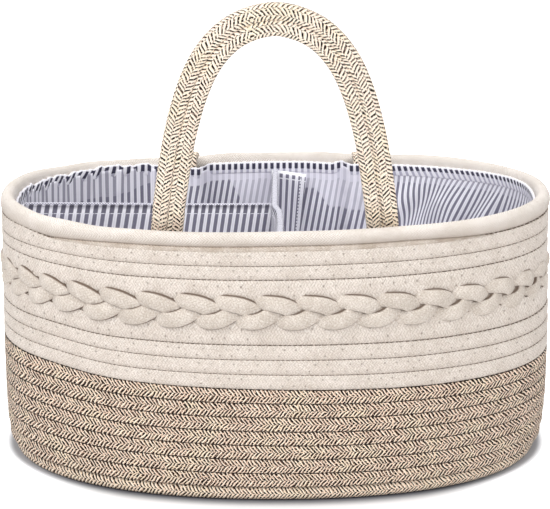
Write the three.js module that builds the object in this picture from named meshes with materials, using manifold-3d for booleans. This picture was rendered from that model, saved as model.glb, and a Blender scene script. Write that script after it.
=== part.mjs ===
// Nursery caddy: an oval basket of coiled cotton rope with a braid round its wall,
// two rope handles, a striped cloth liner and a lift-out divider.
// Millimetres, +Z up, origin at the middle of the base, the photographed front at -Y.
import * as THREE from "three";
import { mergeVertices } from "three/addons/utils/BufferGeometryUtils.js";
import Module from "manifold-3d";

const wasm = await Module();
wasm.setup();

// Overall size, measured over the rim rope
const length = 380;
const width = 254;
const roundness = 2.2;
const clearance = 0.3;

// Rope of the base and the wall
const baseThickness = 10;
const baseEdgeRadius = 6;
const ropeThickness = 8;
const ropeGap = 0.6;
const wallInset = 0.5;
const loopSteps = 24;
const seamGap = 1;

// Courses of the wall from the base up, with the braid sewn in between the cream ones
const brownCourses = 7;
const brownPitch = 9.6;
const middleCourses = 4;
const middlePitch = 10;
const braidBand = 24.4;
const upperCourses = 3;
const upperPitch = 9.1;
// The wall isn't level: at +X the brown part ends this much lower and the rim sits this much higher
const boundaryDip = 3.5;
const rimRise = 2.8;
// Steps of the outline, at the middle of the back, in which each rope climbs to its next course
const climbSteps = 4;

// Rim rope
const rimThickness = 10;
const rimHeight = 12;

// Braid sewn in between the cream courses
const braidPeriods = 13;
const braidSteps = 8;
// Steps by which the braid is turned round the wall, so that its lobes lie as in the photograph
const braidShiftSteps = 7;
const braidWave = 3;
const strandWidth = 7;
const strandDepth = 3;

// Handles: two flat ropes side by side, hinged about the rim rope's middle
const legSpread = 69.2;
const archHeight = 140;
const bendLength = 16;
const handleRopeWidth = 10;
const handleRopeThickness = 8;
const handleAxisInset = 5;
const handleStandOff = 8.3;
const frontLeanAngle = 8;
const backHangAngle = 170;
const archSteps = 24;
const bendStepAngle = 20;
const tailLength = 45;
const tailTipThickness = 3.4;

// Cloth liner
const linerThickness = 1.2;
const floorThickness = 1.5;
const linerGap = 0.45;
const hemRise = 5;
const hemDrop = 4;
const legRoom = 9;
const legFade = 14;
const legSteps = 6;

// Divider
const dividerTop = 169;
const panelThickness = 5.2;
const coverThickness = 0.8;
const flapWidth = 24;
const flapThickness = 1.5;
const stripWidth = 16;
const stripThickness = 1;
const stripMargin = 12;
const tapeThickness = 0.8;
const pipingThickness = 2.4;

// Outlines of sections as shares of their size across and up
const ropeSectionShares = [[0, 0.5], [0.25, 1], [0.75, 1], [1, 0.5], [0.75, 0], [0.25, 0]];
const sheetSectionShares = [[0, 0], [0, 1], [1, 1], [1, 0]];
const baseEdgeShares = [[1, 0], [0.5, 0.13], [0.13, 0.5], [0, 1]];
// Middle line of the arch: share of the leg spread, share of the arch height
const archShares = [[0.908, 0.343], [0.85, 0.489], [0.744, 0.671], [0.611, 0.812], [0.439, 0.914], [0.24, 0.974]];
const archStartShare = 0.978;

// Colours
const cream = { color: 0xe6ddd2, roughness: 0.95, metalness: 0 };
const brown = { color: 0xc9a986, roughness: 0.95, metalness: 0 };
const ticking = { color: 0xa9a8b8, roughness: 0.9, metalness: 0 };
const white = { color: 0xefeef4, roughness: 0.9, metalness: 0 };
const padding = { color: 0xd8d8d8, roughness: 1, metalness: 0 };

const root = new THREE.Group();

function addMesh(name, geometry, finish, parent = root) {
  const mesh = new THREE.Mesh(geometry, new THREE.MeshStandardMaterial(finish));
  mesh.name = name;
  parent.add(mesh);
  return mesh;
}

// Signed volume, so that every lofted body gets its faces pointing out
function signedVolume(points, index) {
  let sum = 0;
  for (let i = 0; i < index.length; i += 3) {
    const [a, b, c] = [points[index[i]], points[index[i + 1]], points[index[i + 2]]];
    sum += a.dot(b.clone().cross(c));
  }
  return sum;
}

// Skin over rings of points. An open row of rings is capped at both ends.
function loft(rings, closed = false) {
  const count = rings[0].length;
  const points = rings.flat();
  const index = [];
  const spans = closed ? rings.length : rings.length - 1;
  for (let i = 0; i < spans; i += 1) {
    const near = i * count;
    const far = ((i + 1) % rings.length) * count;
    for (let j = 0; j < count; j += 1) {
      const next = (j + 1) % count;
      index.push(near + j, far + j, far + next, near + j, far + next, near + next);
    }
  }
  if (!closed) {
    const last = (rings.length - 1) * count;
    for (let j = 1; j < count - 1; j += 1) {
      index.push(0, j, j + 1, last, last + j + 1, last + j);
    }
  }
  if (signedVolume(points, index) < 0) {
    index.reverse();
  }
  const geometry = new THREE.BufferGeometry().setFromPoints(points);
  geometry.setIndex(index);
  return geometry;
}

function asSolid(geometry) {
  const bare = geometry.clone();
  bare.deleteAttribute("normal");
  bare.deleteAttribute("uv");
  const merged = mergeVertices(bare);
  return new wasm.Manifold(new wasm.Mesh({
    numProp: 3,
    vertProperties: new Float32Array(merged.attributes.position.array),
    triVerts: new Uint32Array(merged.index.array),
  }));
}

function asGeometry(solid) {
  const mesh = solid.getMesh();
  const geometry = new THREE.BufferGeometry();
  geometry.setAttribute("position", new THREE.BufferAttribute(mesh.vertProperties, mesh.numProp));
  geometry.setIndex(new THREE.BufferAttribute(mesh.triVerts, 1));
  return geometry;
}

function boxBetween(low, high) {
  const size = high.clone().sub(low);
  const middle = low.clone().add(high).multiplyScalar(0.5);
  return new THREE.BoxGeometry(size.x, size.y, size.z).translate(middle.x, middle.y, middle.z);
}

// Rounded section with the given number of sides, as shares of its size
function roundShares(sides) {
  return Array.from({ length: sides }, (_, i) => {
    const angle = (2 * Math.PI * (i + 0.5)) / sides;
    const reach = 1 / Math.cos(Math.PI / sides);
    return [(1 + reach * Math.cos(angle)) / 2, (1 + reach * Math.sin(angle)) / 2];
  });
}

// Share of the half length reached at an angle round the oval, and the same for the half width
function ovalShare(value) {
  return Math.sign(value) * Math.abs(value) ** (2 / roundness);
}

function ovalPoint(angle, inset) {
  const x = (length / 2 - inset) * ovalShare(Math.cos(angle));
  const y = (width / 2 - inset) * ovalShare(Math.sin(angle));
  return new THREE.Vector2(x, y);
}

// Point on the many-sided outline that every course shares, at a step counted from +X to +Y
function outlinePoint(step, inset) {
  const first = Math.floor(step);
  const corner = (i) => ovalPoint((2 * Math.PI * i) / loopSteps, inset);
  return corner(first).lerp(corner(first + 1), step - first);
}

function stationsBetween(from, to, spacing = 1) {
  const stations = [from];
  for (let i = Math.floor(from / spacing) + 1; i * spacing < to; i += 1) {
    stations.push(i * spacing);
  }
  stations.push(to);
  return stations;
}

const brownTop = baseThickness + brownCourses * brownPitch;
const braidLow = brownTop + middleCourses * middlePitch;
const braidHigh = braidLow + braidBand;
const wallTop = braidHigh + upperCourses * upperPitch;
const braidMiddle = (braidLow + braidHigh) / 2;

// Courses climbed after a number of turns, counted from the middle of the back over +X
function climbed(turns) {
  const reach = climbSteps / loopSteps / 2;
  const nearest = Math.round(turns);
  return nearest - 1 + THREE.MathUtils.smoothstep(turns - nearest, -reach, reach);
}

// Share of the half length that the outline reaches after a number of turns
function turnShare(turns) {
  return ovalShare(Math.sin(2 * Math.PI * turns));
}

function outlineStep(turns) {
  return loopSteps * (0.25 - turns);
}

function rimBottom(share) {
  return wallTop + rimRise * share;
}

// Section standing on the outline: across goes inward, up goes from low to high
function wallRing(step, shares, outerInset, across, low, high) {
  return shares.map(([a, b]) => {
    const point = outlinePoint(step, outerInset + a * across);
    return new THREE.Vector3(point.x, point.y, low + b * (high - low));
  });
}

// Rope wound up from one level of the wall to another, each given as a height and a tilt
function coilRings(courses, from, to) {
  const reach = climbSteps / loopSteps / 4;
  return stationsBetween(-reach, courses + reach, 1 / loopSteps).map((turns) => {
    const height = (climb) => {
      const share = THREE.MathUtils.clamp(climb, 0, courses) / courses;
      const tilt = THREE.MathUtils.lerp(from.tilt, to.tilt, share);
      return THREE.MathUtils.lerp(from.height, to.height, share) + tilt * turnShare(turns);
    };
    return wallRing(
      outlineStep(turns),
      ropeSectionShares,
      wallInset,
      ropeThickness,
      height(climbed(turns)) + ropeGap / 2,
      height(climbed(turns) + 1) - ropeGap / 2,
    );
  });
}

// Least distance between the points of one loop and those of the loop above it
function leastGap(rings) {
  let least = Infinity;
  for (let i = 0; i + loopSteps < rings.length; i += 1) {
    for (let j = i + loopSteps - 1; j <= Math.min(i + loopSteps + 1, rings.length - 1); j += 1) {
      for (const a of rings[i]) {
        for (const b of rings[j]) {
          least = Math.min(least, a.distanceTo(b));
        }
      }
    }
  }
  return least;
}

const perimeterSteps = 720;
const perimeter = Array.from({ length: perimeterSteps }, (_, i) => {
  const angle = (step) => (2 * Math.PI * step) / perimeterSteps;
  return ovalPoint(angle(i), 0).distanceTo(ovalPoint(angle(i + 1), 0));
}).reduce((sum, part) => sum + part, 0);
const seamTurn = seamGap / perimeter / 2;

function addCoil(name, courses, from, to, finish) {
  const rings = coilRings(courses, from, to);
  console.log(`${name}: least gap to itself ${leastGap(rings).toFixed(2)} mm`);
  addMesh(name, loft(rings), finish);
}

function addWall() {
  const atBase = { height: baseThickness, tilt: 0 };
  const atBrownTop = { height: brownTop, tilt: -boundaryDip };
  const underBraid = { height: braidLow, tilt: 0 };
  const overBraid = { height: braidHigh, tilt: 0 };
  const underRim = { height: wallTop, tilt: rimRise };
  addCoil("lower_wall_coil", brownCourses, atBase, atBrownTop, brown);
  addCoil("middle_wall_coil", middleCourses, atBrownTop, underBraid, cream);
  addCoil("upper_wall_coil", upperCourses, overBraid, underRim, cream);
}

function addBase() {
  const ring = (inset, z) => Array.from({ length: loopSteps }, (_, i) => {
    const point = outlinePoint(i, inset);
    return new THREE.Vector3(point.x, point.y, z);
  });
  const rings = baseEdgeShares.map(([a, b]) => ring(wallInset + a * baseEdgeRadius, b * baseEdgeRadius));
  rings.push(ring(wallInset, baseThickness));
  addMesh("base_coil", loft(rings), brown);
}

function addRim() {
  const rings = stationsBetween(seamTurn, 1 - seamTurn, 1 / loopSteps).map((turns) => {
    const low = rimBottom(turnShare(turns));
    return wallRing(outlineStep(turns), roundShares(8), 0, rimThickness, low, low + rimHeight);
  });
  addMesh("rim_coil", loft(rings), cream);
}

// Angles round the oval at equal distances along it
function evenAngles(count) {
  const angle = (step) => (2 * Math.PI * step) / perimeterSteps;
  const angles = [];
  let travelled = 0;
  for (let i = 0; i < perimeterSteps; i += 1) {
    const part = ovalPoint(angle(i), 0).distanceTo(ovalPoint(angle(i + 1), 0));
    while (angles.length < count && travelled + part >= (angles.length * perimeter) / count) {
      angles.push(angle(i + ((angles.length * perimeter) / count - travelled) / part));
    }
    travelled += part;
  }
  return angles;
}

function addBraid() {
  const count = braidPeriods * braidSteps;
  const angles = evenAngles(count);
  const swing = (braidBand - 2 * clearance - strandWidth) / 2;
  const depth = wallInset + ropeThickness - clearance - strandDepth / 2 - braidWave;
  const middle = (i, strand) => {
    const phase = 2 * Math.PI * ((i + braidShiftSteps) / braidSteps + strand / 3);
    const point = ovalPoint(angles[(i + count) % count], depth + braidWave * Math.sin(2 * phase));
    return new THREE.Vector3(point.x, point.y, braidMiddle + swing * Math.sin(phase));
  };
  const outward = (i) => {
    const offset = ovalPoint(angles[i], 0).sub(ovalPoint(angles[i], wallInset));
    return new THREE.Vector3(offset.x, offset.y, 0).normalize();
  };
  const shares = roundShares(6);
  for (let strand = 0; strand < 3; strand += 1) {
    const rings = angles.map((_, i) => {
      const along = middle(i + 1, strand).sub(middle(i - 1, strand)).normalize();
      const side = along.clone().cross(outward(i)).normalize();
      const out = side.clone().cross(along);
      return shares.map(([a, b]) => middle(i, strand)
        .addScaledVector(side, (a - 0.5) * strandWidth)
        .addScaledVector(out, (b - 0.5) * strandDepth));
    });
    addMesh(`braid_strand_${strand + 1}`, loft(rings, true), cream);
  }
}

// Handle axis, on the rim rope's middle line at the legs
const legStep = loopSteps / 4 - stepsToReach(legSpread);
const axisY = outlinePoint(legStep, handleAxisInset).y;
const axisZ = rimBottom(0) + rimHeight / 2;
const bandMiddle = handleStandOff + handleRopeThickness / 2;

// Steps from the middle of a long side to where the outline is this far from the middle
function stepsToReach(reach) {
  let step = 0;
  while (outlinePoint(loopSteps / 4 - step, handleAxisInset).x < reach) {
    step += 1 / perimeterSteps;
  }
  return step;
}

// Frames along the middle line of the arch, in the handle's own plane, from left to right
function archFrames() {
  const half = [[archStartShare, bendLength / archHeight], ...archShares];
  const place = (side) => ([a, b]) => new THREE.Vector3(side * a * legSpread, 0, b * archHeight);
  const points = [...half.map(place(-1)), new THREE.Vector3(0, 0, archHeight), ...half.reverse().map(place(1))];
  const curve = new THREE.CatmullRomCurve3(points, false, "centripetal");
  return Array.from({ length: archSteps + 1 }, (_, i) => {
    const along = curve.getTangentAt(i / archSteps);
    return { point: curve.getPointAt(i / archSteps), along, side: new THREE.Vector3(-along.z, 0, along.x) };
  });
}

const arch = archFrames();

// Section across the band at a frame, centred off the middle line, in the handle's own plane
function bandRing(frame, offset, across, thickness) {
  return roundShares(8).map(([a, b]) => frame.point.clone()
    .addScaledVector(frame.side, offset + (a - 0.5) * across)
    .add(new THREE.Vector3(0, bandMiddle + (b - 0.5) * thickness, 0)));
}

const bandWidth = 2 * handleRopeWidth + clearance;

function addHandle(name, turnedBack, lean) {
  const seat = new THREE.Group();
  seat.position.set(0, turnedBack ? axisY : -axisY, axisZ);
  seat.rotation.z = turnedBack ? Math.PI : 0;
  root.add(seat);
  const swing = new THREE.Group();
  swing.rotation.x = THREE.MathUtils.degToRad(lean);
  seat.add(swing);
  for (const [rope, side] of [["outer_rope", 1], ["inner_rope", -1]]) {
    const offset = (side * (handleRopeWidth + clearance)) / 2;
    const rings = arch.map((frame) => bandRing(frame, offset, handleRopeWidth, handleRopeThickness));
    addMesh(`${name}_${rope}`, loft(rings), brown, swing);
  }
  for (const [end, frame, side] of [["left", arch[0], -1], ["right", arch.at(-1), 1]]) {
    const label = `${name}_${turnedBack === (side < 0) ? "right" : "left"}`;
    addMesh(`${label}_bend`, bendGeometry(frame, side, lean), brown, seat);
    addMesh(`${label}_tail`, tailGeometry(side), brown, seat);
  }
}

// Bend of a leg: from level with the axis, round it by the lean, to just short of the arch
function bendGeometry(frame, side, lean) {
  const count = Math.max(1, Math.round(lean / bendStepAngle));
  const upward = frame.along.clone().multiplyScalar(-side);
  const foot = { point: new THREE.Vector3(side * legSpread, 0, 0), side: new THREE.Vector3(1, 0, 0) };
  const tip = { point: frame.point.clone().addScaledVector(upward, -clearance), side: frame.side };
  const level = bandRing(foot, 0, bandWidth, handleRopeThickness);
  const end = bandRing(tip, 0, bandWidth, handleRopeThickness);
  const axis = new THREE.Vector3(1, 0, 0);
  const turn = (ring, angle) => ring.map((p) => p.clone().applyAxisAngle(axis, THREE.MathUtils.degToRad(angle)));
  const rings = Array.from({ length: count }, (_, i) => turn(level, (i * lean) / count));
  if (count > 1) {
    rings.push(turn(level, lean));
  }
  const ordered = frame.side.x < 0 ? mirroredOrder(end) : end;
  rings.push(turn(ordered, lean));
  return loft(rings);
}

// The same ring counted from the other side, so that it joins a ring whose side points the other way
function mirroredOrder(ring) {
  return ring.map((_, i) => ring[(ring.length / 2 - 1 - i + ring.length) % ring.length]);
}

function tailGeometry(side) {
  const depths = [[clearance, handleRopeThickness], [tailLength, tailTipThickness]];
  const rings = depths.map(([depth, thickness]) => roundShares(8).map(([a, b]) => new THREE.Vector3(
    side * legSpread + (a - 0.5) * bandWidth,
    handleStandOff + b * thickness,
    -depth,
  )));
  return loft(rings);
}

// Liner: hugs the wall, and stands off it where the handle legs come down behind it
const linerInset = wallInset + ropeThickness + linerGap;
const hemInset = linerInset + linerThickness + clearance;
const floorTop = baseThickness + clearance + floorThickness;
const linerLow = floorTop + clearance;
const legInnerY = axisY - handleStandOff - handleRopeThickness - clearance;

function legWindow(x) {
  const beyond = Math.abs(Math.abs(x) - legSpread) - bandWidth / 2 - legRoom;
  return 1 - THREE.MathUtils.smoothstep(beyond, 0, legFade);
}

// Point of a sheet at an inset, moved in where a leg comes down behind the liner
function linerPoint(step, inset, z) {
  const point = outlinePoint(step, inset);
  const limit = legInnerY - (inset - linerInset);
  const excess = Math.max(0, Math.abs(point.y) - limit) * legWindow(point.x);
  return new THREE.Vector3(point.x, point.y - Math.sign(point.y) * excess, z);
}

function sheetRing(step, inset, thickness, low, high) {
  return sheetSectionShares.map(([a, b]) => linerPoint(step, inset + a * thickness, low + b * (high - low)));
}

// Steps round the outline, closer together where a leg is near
function linerSteps() {
  const nearLeg = (step) => legWindow(outlinePoint(step, linerInset).x) > 0;
  const steps = [];
  for (let i = 0; i < loopSteps * legSteps; i += 1) {
    const corner = Math.floor(i / legSteps);
    if (i % legSteps === 0 || nearLeg(corner) || nearLeg(corner + 1)) {
      steps.push(i / legSteps);
    }
  }
  return steps;
}

function outlineShare(step) {
  return outlinePoint(step, 0).x / (length / 2);
}

function addLiner() {
  const floorRing = (z) => Array.from({ length: loopSteps }, (_, i) => {
    const point = outlinePoint(i, linerInset);
    return new THREE.Vector3(point.x, point.y, z);
  });
  addMesh("liner_floor", loft([floorRing(baseThickness + clearance), floorRing(floorTop)]), ticking);
  const steps = linerSteps();
  const wall = steps.map((step) => sheetRing(
    step, linerInset, linerThickness, linerLow, rimBottom(outlineShare(step)) - clearance,
  ));
  addMesh("liner_wall", loft(wall, true), ticking);
  const hem = steps.map((step) => {
    const seam = rimBottom(outlineShare(step));
    return sheetRing(step, hemInset, linerThickness, seam - hemDrop, seam + hemRise);
  });
  addMesh("liner_hem", loft(hem, true), white);
}

// Sheet that follows the wall along the given steps
function bandGeometry(steps, inset, thickness, low, high) {
  return loft(steps.map((step) => sheetRing(step, inset, thickness, low, high)));
}

const quarter = loopSteps / 4;

// Step at which the outline has gone a distance from a middle, along X or along Y
function stepAt(middle, distance) {
  const direction = Math.sign(distance);
  const start = outlinePoint(middle, hemInset);
  let step = middle;
  while (outlinePoint(step, hemInset).distanceTo(start) < Math.abs(distance)) {
    step += direction / perimeterSteps;
  }
  return step;
}

const hookInset = hemInset + linerThickness + clearance;
const flapInset = hookInset + stripThickness + clearance;
const flapInnerInset = flapInset + flapThickness;
const stripLow = linerLow + stripMargin;
const stripHigh = rimBottom(-1) - hemDrop - clearance;
const dividerLow = floorTop + clearance;

// Where each flap lies: its middle step, and the way it spreads along the wall
const flaps = {
  back: [quarter, -1],
  left: [2 * quarter, 1],
  front: [3 * quarter, 1],
};

function addFlaps() {
  for (const [name, [middle, way]] of Object.entries(flaps)) {
    const span = (near, far) => stationsBetween(
      ...[stepAt(middle, way * near), stepAt(middle, way * far)].sort((a, b) => a - b),
    );
    const flapSteps = span(-panelThickness / 2, flapWidth);
    addMesh(`${name}_flap`, bandGeometry(flapSteps, flapInset, flapThickness, dividerLow, dividerTop), ticking);
    const stripSteps = span(panelThickness / 2, panelThickness / 2 + stripWidth);
    const strip = (inset, thickness) => bandGeometry(stripSteps, inset, thickness, stripLow, stripHigh);
    addMesh(`${name}_hook_strip`, strip(hookInset, stripThickness), white);
    addMesh(`${name}_loop_strip`, strip(hemInset, linerThickness), white);
  }
}

// A padded board inside a sewn cover that is open below
function addPanel(name, low, high) {
  const inner = new THREE.Vector3(coverThickness, coverThickness, 0);
  const hollowLow = low.clone().add(inner);
  hollowLow.z = -panelThickness;
  const hollowHigh = high.clone().sub(inner);
  hollowHigh.z -= coverThickness;
  const cover = asSolid(boxBetween(low, high)).subtract(asSolid(boxBetween(hollowLow, hollowHigh)));
  addMesh(`${name}_cover`, asGeometry(cover), ticking);
  const gap = new THREE.Vector3(clearance, clearance, clearance);
  const coreLow = new THREE.Vector3(hollowLow.x, hollowLow.y, low.z - clearance).add(gap);
  addMesh(`${name}_board`, boxBetween(coreLow, hollowHigh.clone().sub(gap)), padding);
}

function addDivider() {
  const half = panelThickness / 2;
  const crossEnd = outlinePoint(stepAt(quarter, half), flapInnerInset).y - clearance;
  addPanel(
    "cross_panel",
    new THREE.Vector3(-half, -crossEnd, dividerLow),
    new THREE.Vector3(half, crossEnd, dividerTop),
  );
  const longEnd = outlinePoint(stepAt(2 * quarter, half), flapInnerInset).x + clearance;
  addPanel(
    "long_panel",
    new THREE.Vector3(longEnd, -half, dividerLow),
    new THREE.Vector3(-half - clearance, half, dividerTop),
  );
  const tapeLow = dividerTop + clearance;
  addMesh("cross_panel_tape", boxBetween(
    new THREE.Vector3(-half, -crossEnd, tapeLow),
    new THREE.Vector3(half, crossEnd, tapeLow + tapeThickness),
  ), white);
  const pipingRing = (x) => roundShares(8).map(([a, b]) => new THREE.Vector3(
    x,
    (a - 0.5) * pipingThickness,
    tapeLow + b * pipingThickness,
  ));
  addMesh("long_panel_piping", loft([pipingRing(longEnd), pipingRing(-half - clearance)]), white);
}

addBase();
addWall();
addRim();
addBraid();
addHandle("front_handle", false, frontLeanAngle);
addHandle("back_handle", true, backHangAngle);
addLiner();
addFlaps();
addDivider();

export default root;
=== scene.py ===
"""Looks of the coiled rope basket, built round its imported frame.

Metres, +Z up, the photographed front at -Y. Angles go round the oval from +X over the back (+Y).
"""
import math

import bpy
import numpy as np
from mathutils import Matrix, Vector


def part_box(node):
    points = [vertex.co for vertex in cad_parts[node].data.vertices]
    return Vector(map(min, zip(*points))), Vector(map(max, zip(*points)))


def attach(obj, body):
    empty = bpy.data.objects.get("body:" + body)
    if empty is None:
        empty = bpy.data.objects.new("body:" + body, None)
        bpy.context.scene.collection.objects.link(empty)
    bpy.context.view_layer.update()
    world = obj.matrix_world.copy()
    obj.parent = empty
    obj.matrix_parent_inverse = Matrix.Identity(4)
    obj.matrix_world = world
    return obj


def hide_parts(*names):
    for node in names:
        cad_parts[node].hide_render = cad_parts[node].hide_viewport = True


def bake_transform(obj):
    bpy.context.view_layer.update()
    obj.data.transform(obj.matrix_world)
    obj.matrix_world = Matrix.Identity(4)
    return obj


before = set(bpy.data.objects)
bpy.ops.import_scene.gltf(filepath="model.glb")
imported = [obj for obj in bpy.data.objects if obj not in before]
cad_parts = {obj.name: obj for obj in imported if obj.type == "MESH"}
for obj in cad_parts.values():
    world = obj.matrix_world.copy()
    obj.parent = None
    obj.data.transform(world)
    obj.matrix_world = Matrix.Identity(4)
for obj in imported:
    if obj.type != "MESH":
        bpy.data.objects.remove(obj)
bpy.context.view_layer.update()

MM = 0.001
TURN = 2 * math.pi


def mm(*lengths):
    """Lengths in millimetres, as the script's metres."""
    return tuple(length * MM for length in lengths)


# Oval of the basket over the rim
HALF_LENGTH = 190 * MM
HALF_WIDTH = 127 * MM
ROUNDNESS = 2.2
OVAL_STEPS = 7201

# Wall, as in the solids
BASE_TOP = 10 * MM
BROWN_COURSES = 7
BROWN_TOP = 77.2 * MM
MIDDLE_COURSES = 4
BRAID_LOW = 117.2 * MM
BRAID_HIGH = 141.6 * MM
UPPER_COURSES = 3
WALL_TOP = 168.9 * MM
BOUNDARY_DIP = 3.5 * MM
RIM_RISE = 2.8 * MM
CLIMB = 4 / 24
WALL_INSET = 0.5 * MM
ROPE_THICKNESS = 8.4 * MM

# Ropes of the wall and the base: step of their rings, overlap of courses, and small wavers
WALL_STEP = 2 * MM
WALL_SIDES = 20
WALL_BACK = 2.5
BROWN_SQUARENESS = 8
CREAM_SQUARENESS = 5.5
COURSE_GIRTH = 10 * MM
COURSE_LAP = 0.25 * MM
SEAM_WAVER = 0.35 * MM
SEAM_DRIFT = 20 * MM
FACE_WAVER = 0.3 * MM
UPPER_LIFT = 0.7 * MM
UPPER_LIFT_SHARE = 1.3
BASE_PITCH = 9.8 * MM
BASE_COURSES = 12.4
BASE_STEP = 3 * MM
BASE_EDGE = 0.8 * MM
BASE_LAP = mm(0.1, 0.15)
BASE_HEART = 6 * MM
BASE_SECTION = (20, 2.3, 3.0)

# Ends of the wall: how they belly out between levels, are tucked in at the foot, and climb at the left
RIGHT_BULGE = 2.7 * MM
LEFT_BULGE = 1.4 * MM
BULGE_START = mm(-5, 50)
BULGE_END = mm(70, 165)
END_TUCK = 3.5 * MM
END_TUCK_HEIGHT = 22 * MM
LEFT_LIFT = 3 * MM
LEFT_LIFT_SHARES = (0.5, 0.8)
# Least share of the wall's length that its flecks run over, where it turns round the ends
LEAST_FACE_SHARE = 0.6

# Rim, and the end of the wall rope tucked under its front
RIM_THICKNESS = 10 * MM
RIM_HEIGHT = 12 * MM
RIM_GIRTH = 34 * MM
RIM_SIDES = 24
RIM_SQUARENESS = 2.25
RIM_LAP = 0.2 * MM
RIM_LOW_WAVER = 0.3 * MM
RIM_HIGH_WAVER = 0.5 * MM
RIM_OUT_WAVER = 0.25 * MM
RIM_END_LIFT = 2.4 * MM
RIM_END_SHARES = (0.74, 0.9)
RIM_SWELL = 2 * MM
RIM_SWELL_SHARES = ((0.55, 0.75), (0.8, 0.95))
RIM_PRESS = 1.6 * MM
RIM_PRESS_REACH = mm(6, 40)
TUCKED_END = 3.1 * MM
TUCKED_MIDDLE = 8 * MM
TUCKED_REACH = mm(90, 165)
TUCKED_FROM = -150 * MM
TUCKED_TO = 168 * MM
TUCKED_LAP = 0.5 * MM
TUCKED_HEIGHT = 0.9 * MM
TUCKED_INSET = 0.2 * MM
TUCKED_THICKNESS = 6 * MM
TUCKED_SECTION = (14, 3.2, 2.5)

# Braid
BRAID_GIRTH = 31 * MM
BRAID_PERIODS = 13
BRAID_STEPS = 36
BRAID_SIDES = 20
BRAID_START = 0.165
BRAID_LEAD = 0.1
STRAND_WIDTH = 11.4 * MM
STRAND_DEPTH = 7.4 * MM
STRAND_REACH_SHARE = 0.93
BRAID_SWING = 0.3 * MM
BRAID_WAVER = 0.4 * MM
BRAID_LIMIT = 8.9 * MM
BRAID_INSET = 3.2 * MM
BRAID_WEAVE = 2.9 * MM
BRAID_END_INSET = 2.5 * MM
BRAID_EDGE = 1.4 * MM
BRAID_LAP = 4 * MM
BRAID_LENGTH = 84 * MM
OUTWARD_STEP = 20 * MM

# Handles
LEG_SPREAD = 69.2 * MM
ARCH_HEIGHT = 140 * MM
BEND_LENGTH = 16 * MM
STAND_OFF = 8.3 * MM
TAIL_LENGTH = 45 * MM
TAIL_TIP = 3.4 * MM
TAIL_END = -1 * MM
TAIL_STEPS = 12
BEND_STEPS = 26
ROPE_OFFSET = 5.05 * MM
ROPE_HALF_WIDTH = 5.3 * MM
ROPE_THICK = 8 * MM
ROPE_SIDES = 28
ROPE_SQUARENESS = 0.5
STILL_STEP = 0.2 * MM
ARCH_SAMPLES = 600
ARCH_ROWS = 150
# The back handle is pressed flat where it turns over the rim: by how much, and at which angles
PRESSED_ROPE = 3.8 * MM
PRESSED_RIM = 8 * MM
PRESS_ANGLE = 95
PRESS_SPREAD = 55
FRONT_LEAN = 8
BACK_HANG = 170
BACK_SHIFT = 3 * MM
AXIS_Y = 114.414 * MM
AXIS_Z = 174.9 * MM
FRONT_BLEND = mm(-4, 20)
BACK_BLEND = mm(-10, 10)
FLECK_START = 15 * MM
ARCH_SHARES = [(0.978, 0.114), (0.908, 0.343), (0.85, 0.489), (0.744, 0.671), (0.611, 0.812),
               (0.439, 0.914), (0.24, 0.974)]
# Each rope of a handle: its side, how far its flecks' peaks lie off its middle at the left and at the
# right end, and the nodes that it takes in
HANDLE_ROPES = {
    "outer_rope": (1, mm(-2.1, 1.2), ("left_bend", "left_tail")),
    "inner_rope": (-1, mm(1, -0.8), ("right_bend", "right_tail")),
}

# Liner's wall: its inset, room for the sewn-in handle ends, and its rows down from the top
LINER_INSET = 9.6 * MM
LINER_SHELL = 0.7 * MM
LINER_RISE = 1 * MM
LINER_COLUMNS = 560
FINE_ROWS = (0, 50 * MM, 26)
COARSE_ROWS = (54 * MM, 157.5 * MM, 24)
LINER_FADE = mm(135, 157)
LEG_INNER_Y = 97.8 * MM
LEG_ROOM = 11.5 * MM
LEG_FADE = 10 * MM
# Folds of the liner: how far they stand in, how long they are, and how deep they reach
DRAPE = 30 * MM
RIDGE_STAND = 1.6 * MM
RIDGE_WAVES = ((46 * MM, 1, 0), (27 * MM, 0.6, 1.3))
RIDGE_END = mm(60, 130)
RIDGE_LEAN = 1.5 * MM
RIDGE_LEAN_WAVES = ((46 * MM, 1, 1),)
GATHER_STAND = 0.9 * MM
GATHER_WAVES = ((9.5 * MM, 1, 0), (14.3 * MM, 0.7, 2))
GATHER_DEPTH = 28 * MM
GATHER_LEAN = 0.8 * MM
GATHER_LEAN_WAVES = ((33 * MM, 1, 0),)
GATHER_LEAN_DEPTH = 40 * MM
SOFT_STAND = 0.5 * MM
SOFT_WAVES = ((83 * MM, 1, 0),)
SLANTED_WAVES = ((51 * MM, 0.7, 0.5),)
SOFT_DEPTH = 40 * MM
LEAN_DEPTH = 45 * MM
LEAN_START = 10 * MM
STRETCH_SHARE = 0.18
# Places along the back in millimetres, and how far the liner's top stands over its usual level there
LIFTS = [(-190, 5), (-158, 5.3), (-131, 5.8), (-107, 4.6), (-91, 2.6), (-60, 1.5), (0, 1.2), (24, 1.2),
         (46, 0.1), (54, 2.6), (76, 2.4), (91, 0.2), (140, 0.9), (180, 2.6), (190, 2.6)]
LIFT_START = mm(-40, 30)

# Hem
HEM_INSET = 10.55 * MM
HEM_BEHIND_LEG = 0.4 * MM
HEM_DROP = 4 * MM
HEM_RISE = 4.6 * MM
HEM_COLUMNS = 760
HEM_SIDES = 16
HEM_HALF = 1.25 * MM
HEM_WAVER = 0.3 * MM
HEM_SCALLOP = 0.25 * MM
HEM_RUFFLE = 0.35 * MM
HEM_SWAY = 0.6 * MM
RUFFLE_WAVES = tuple((length * MM, 1, length) for length in (47, 29, 19, 12.7, 8.3))
SWAY_WAVES = ((12.7 * MM, 1, 1.2),)

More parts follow.
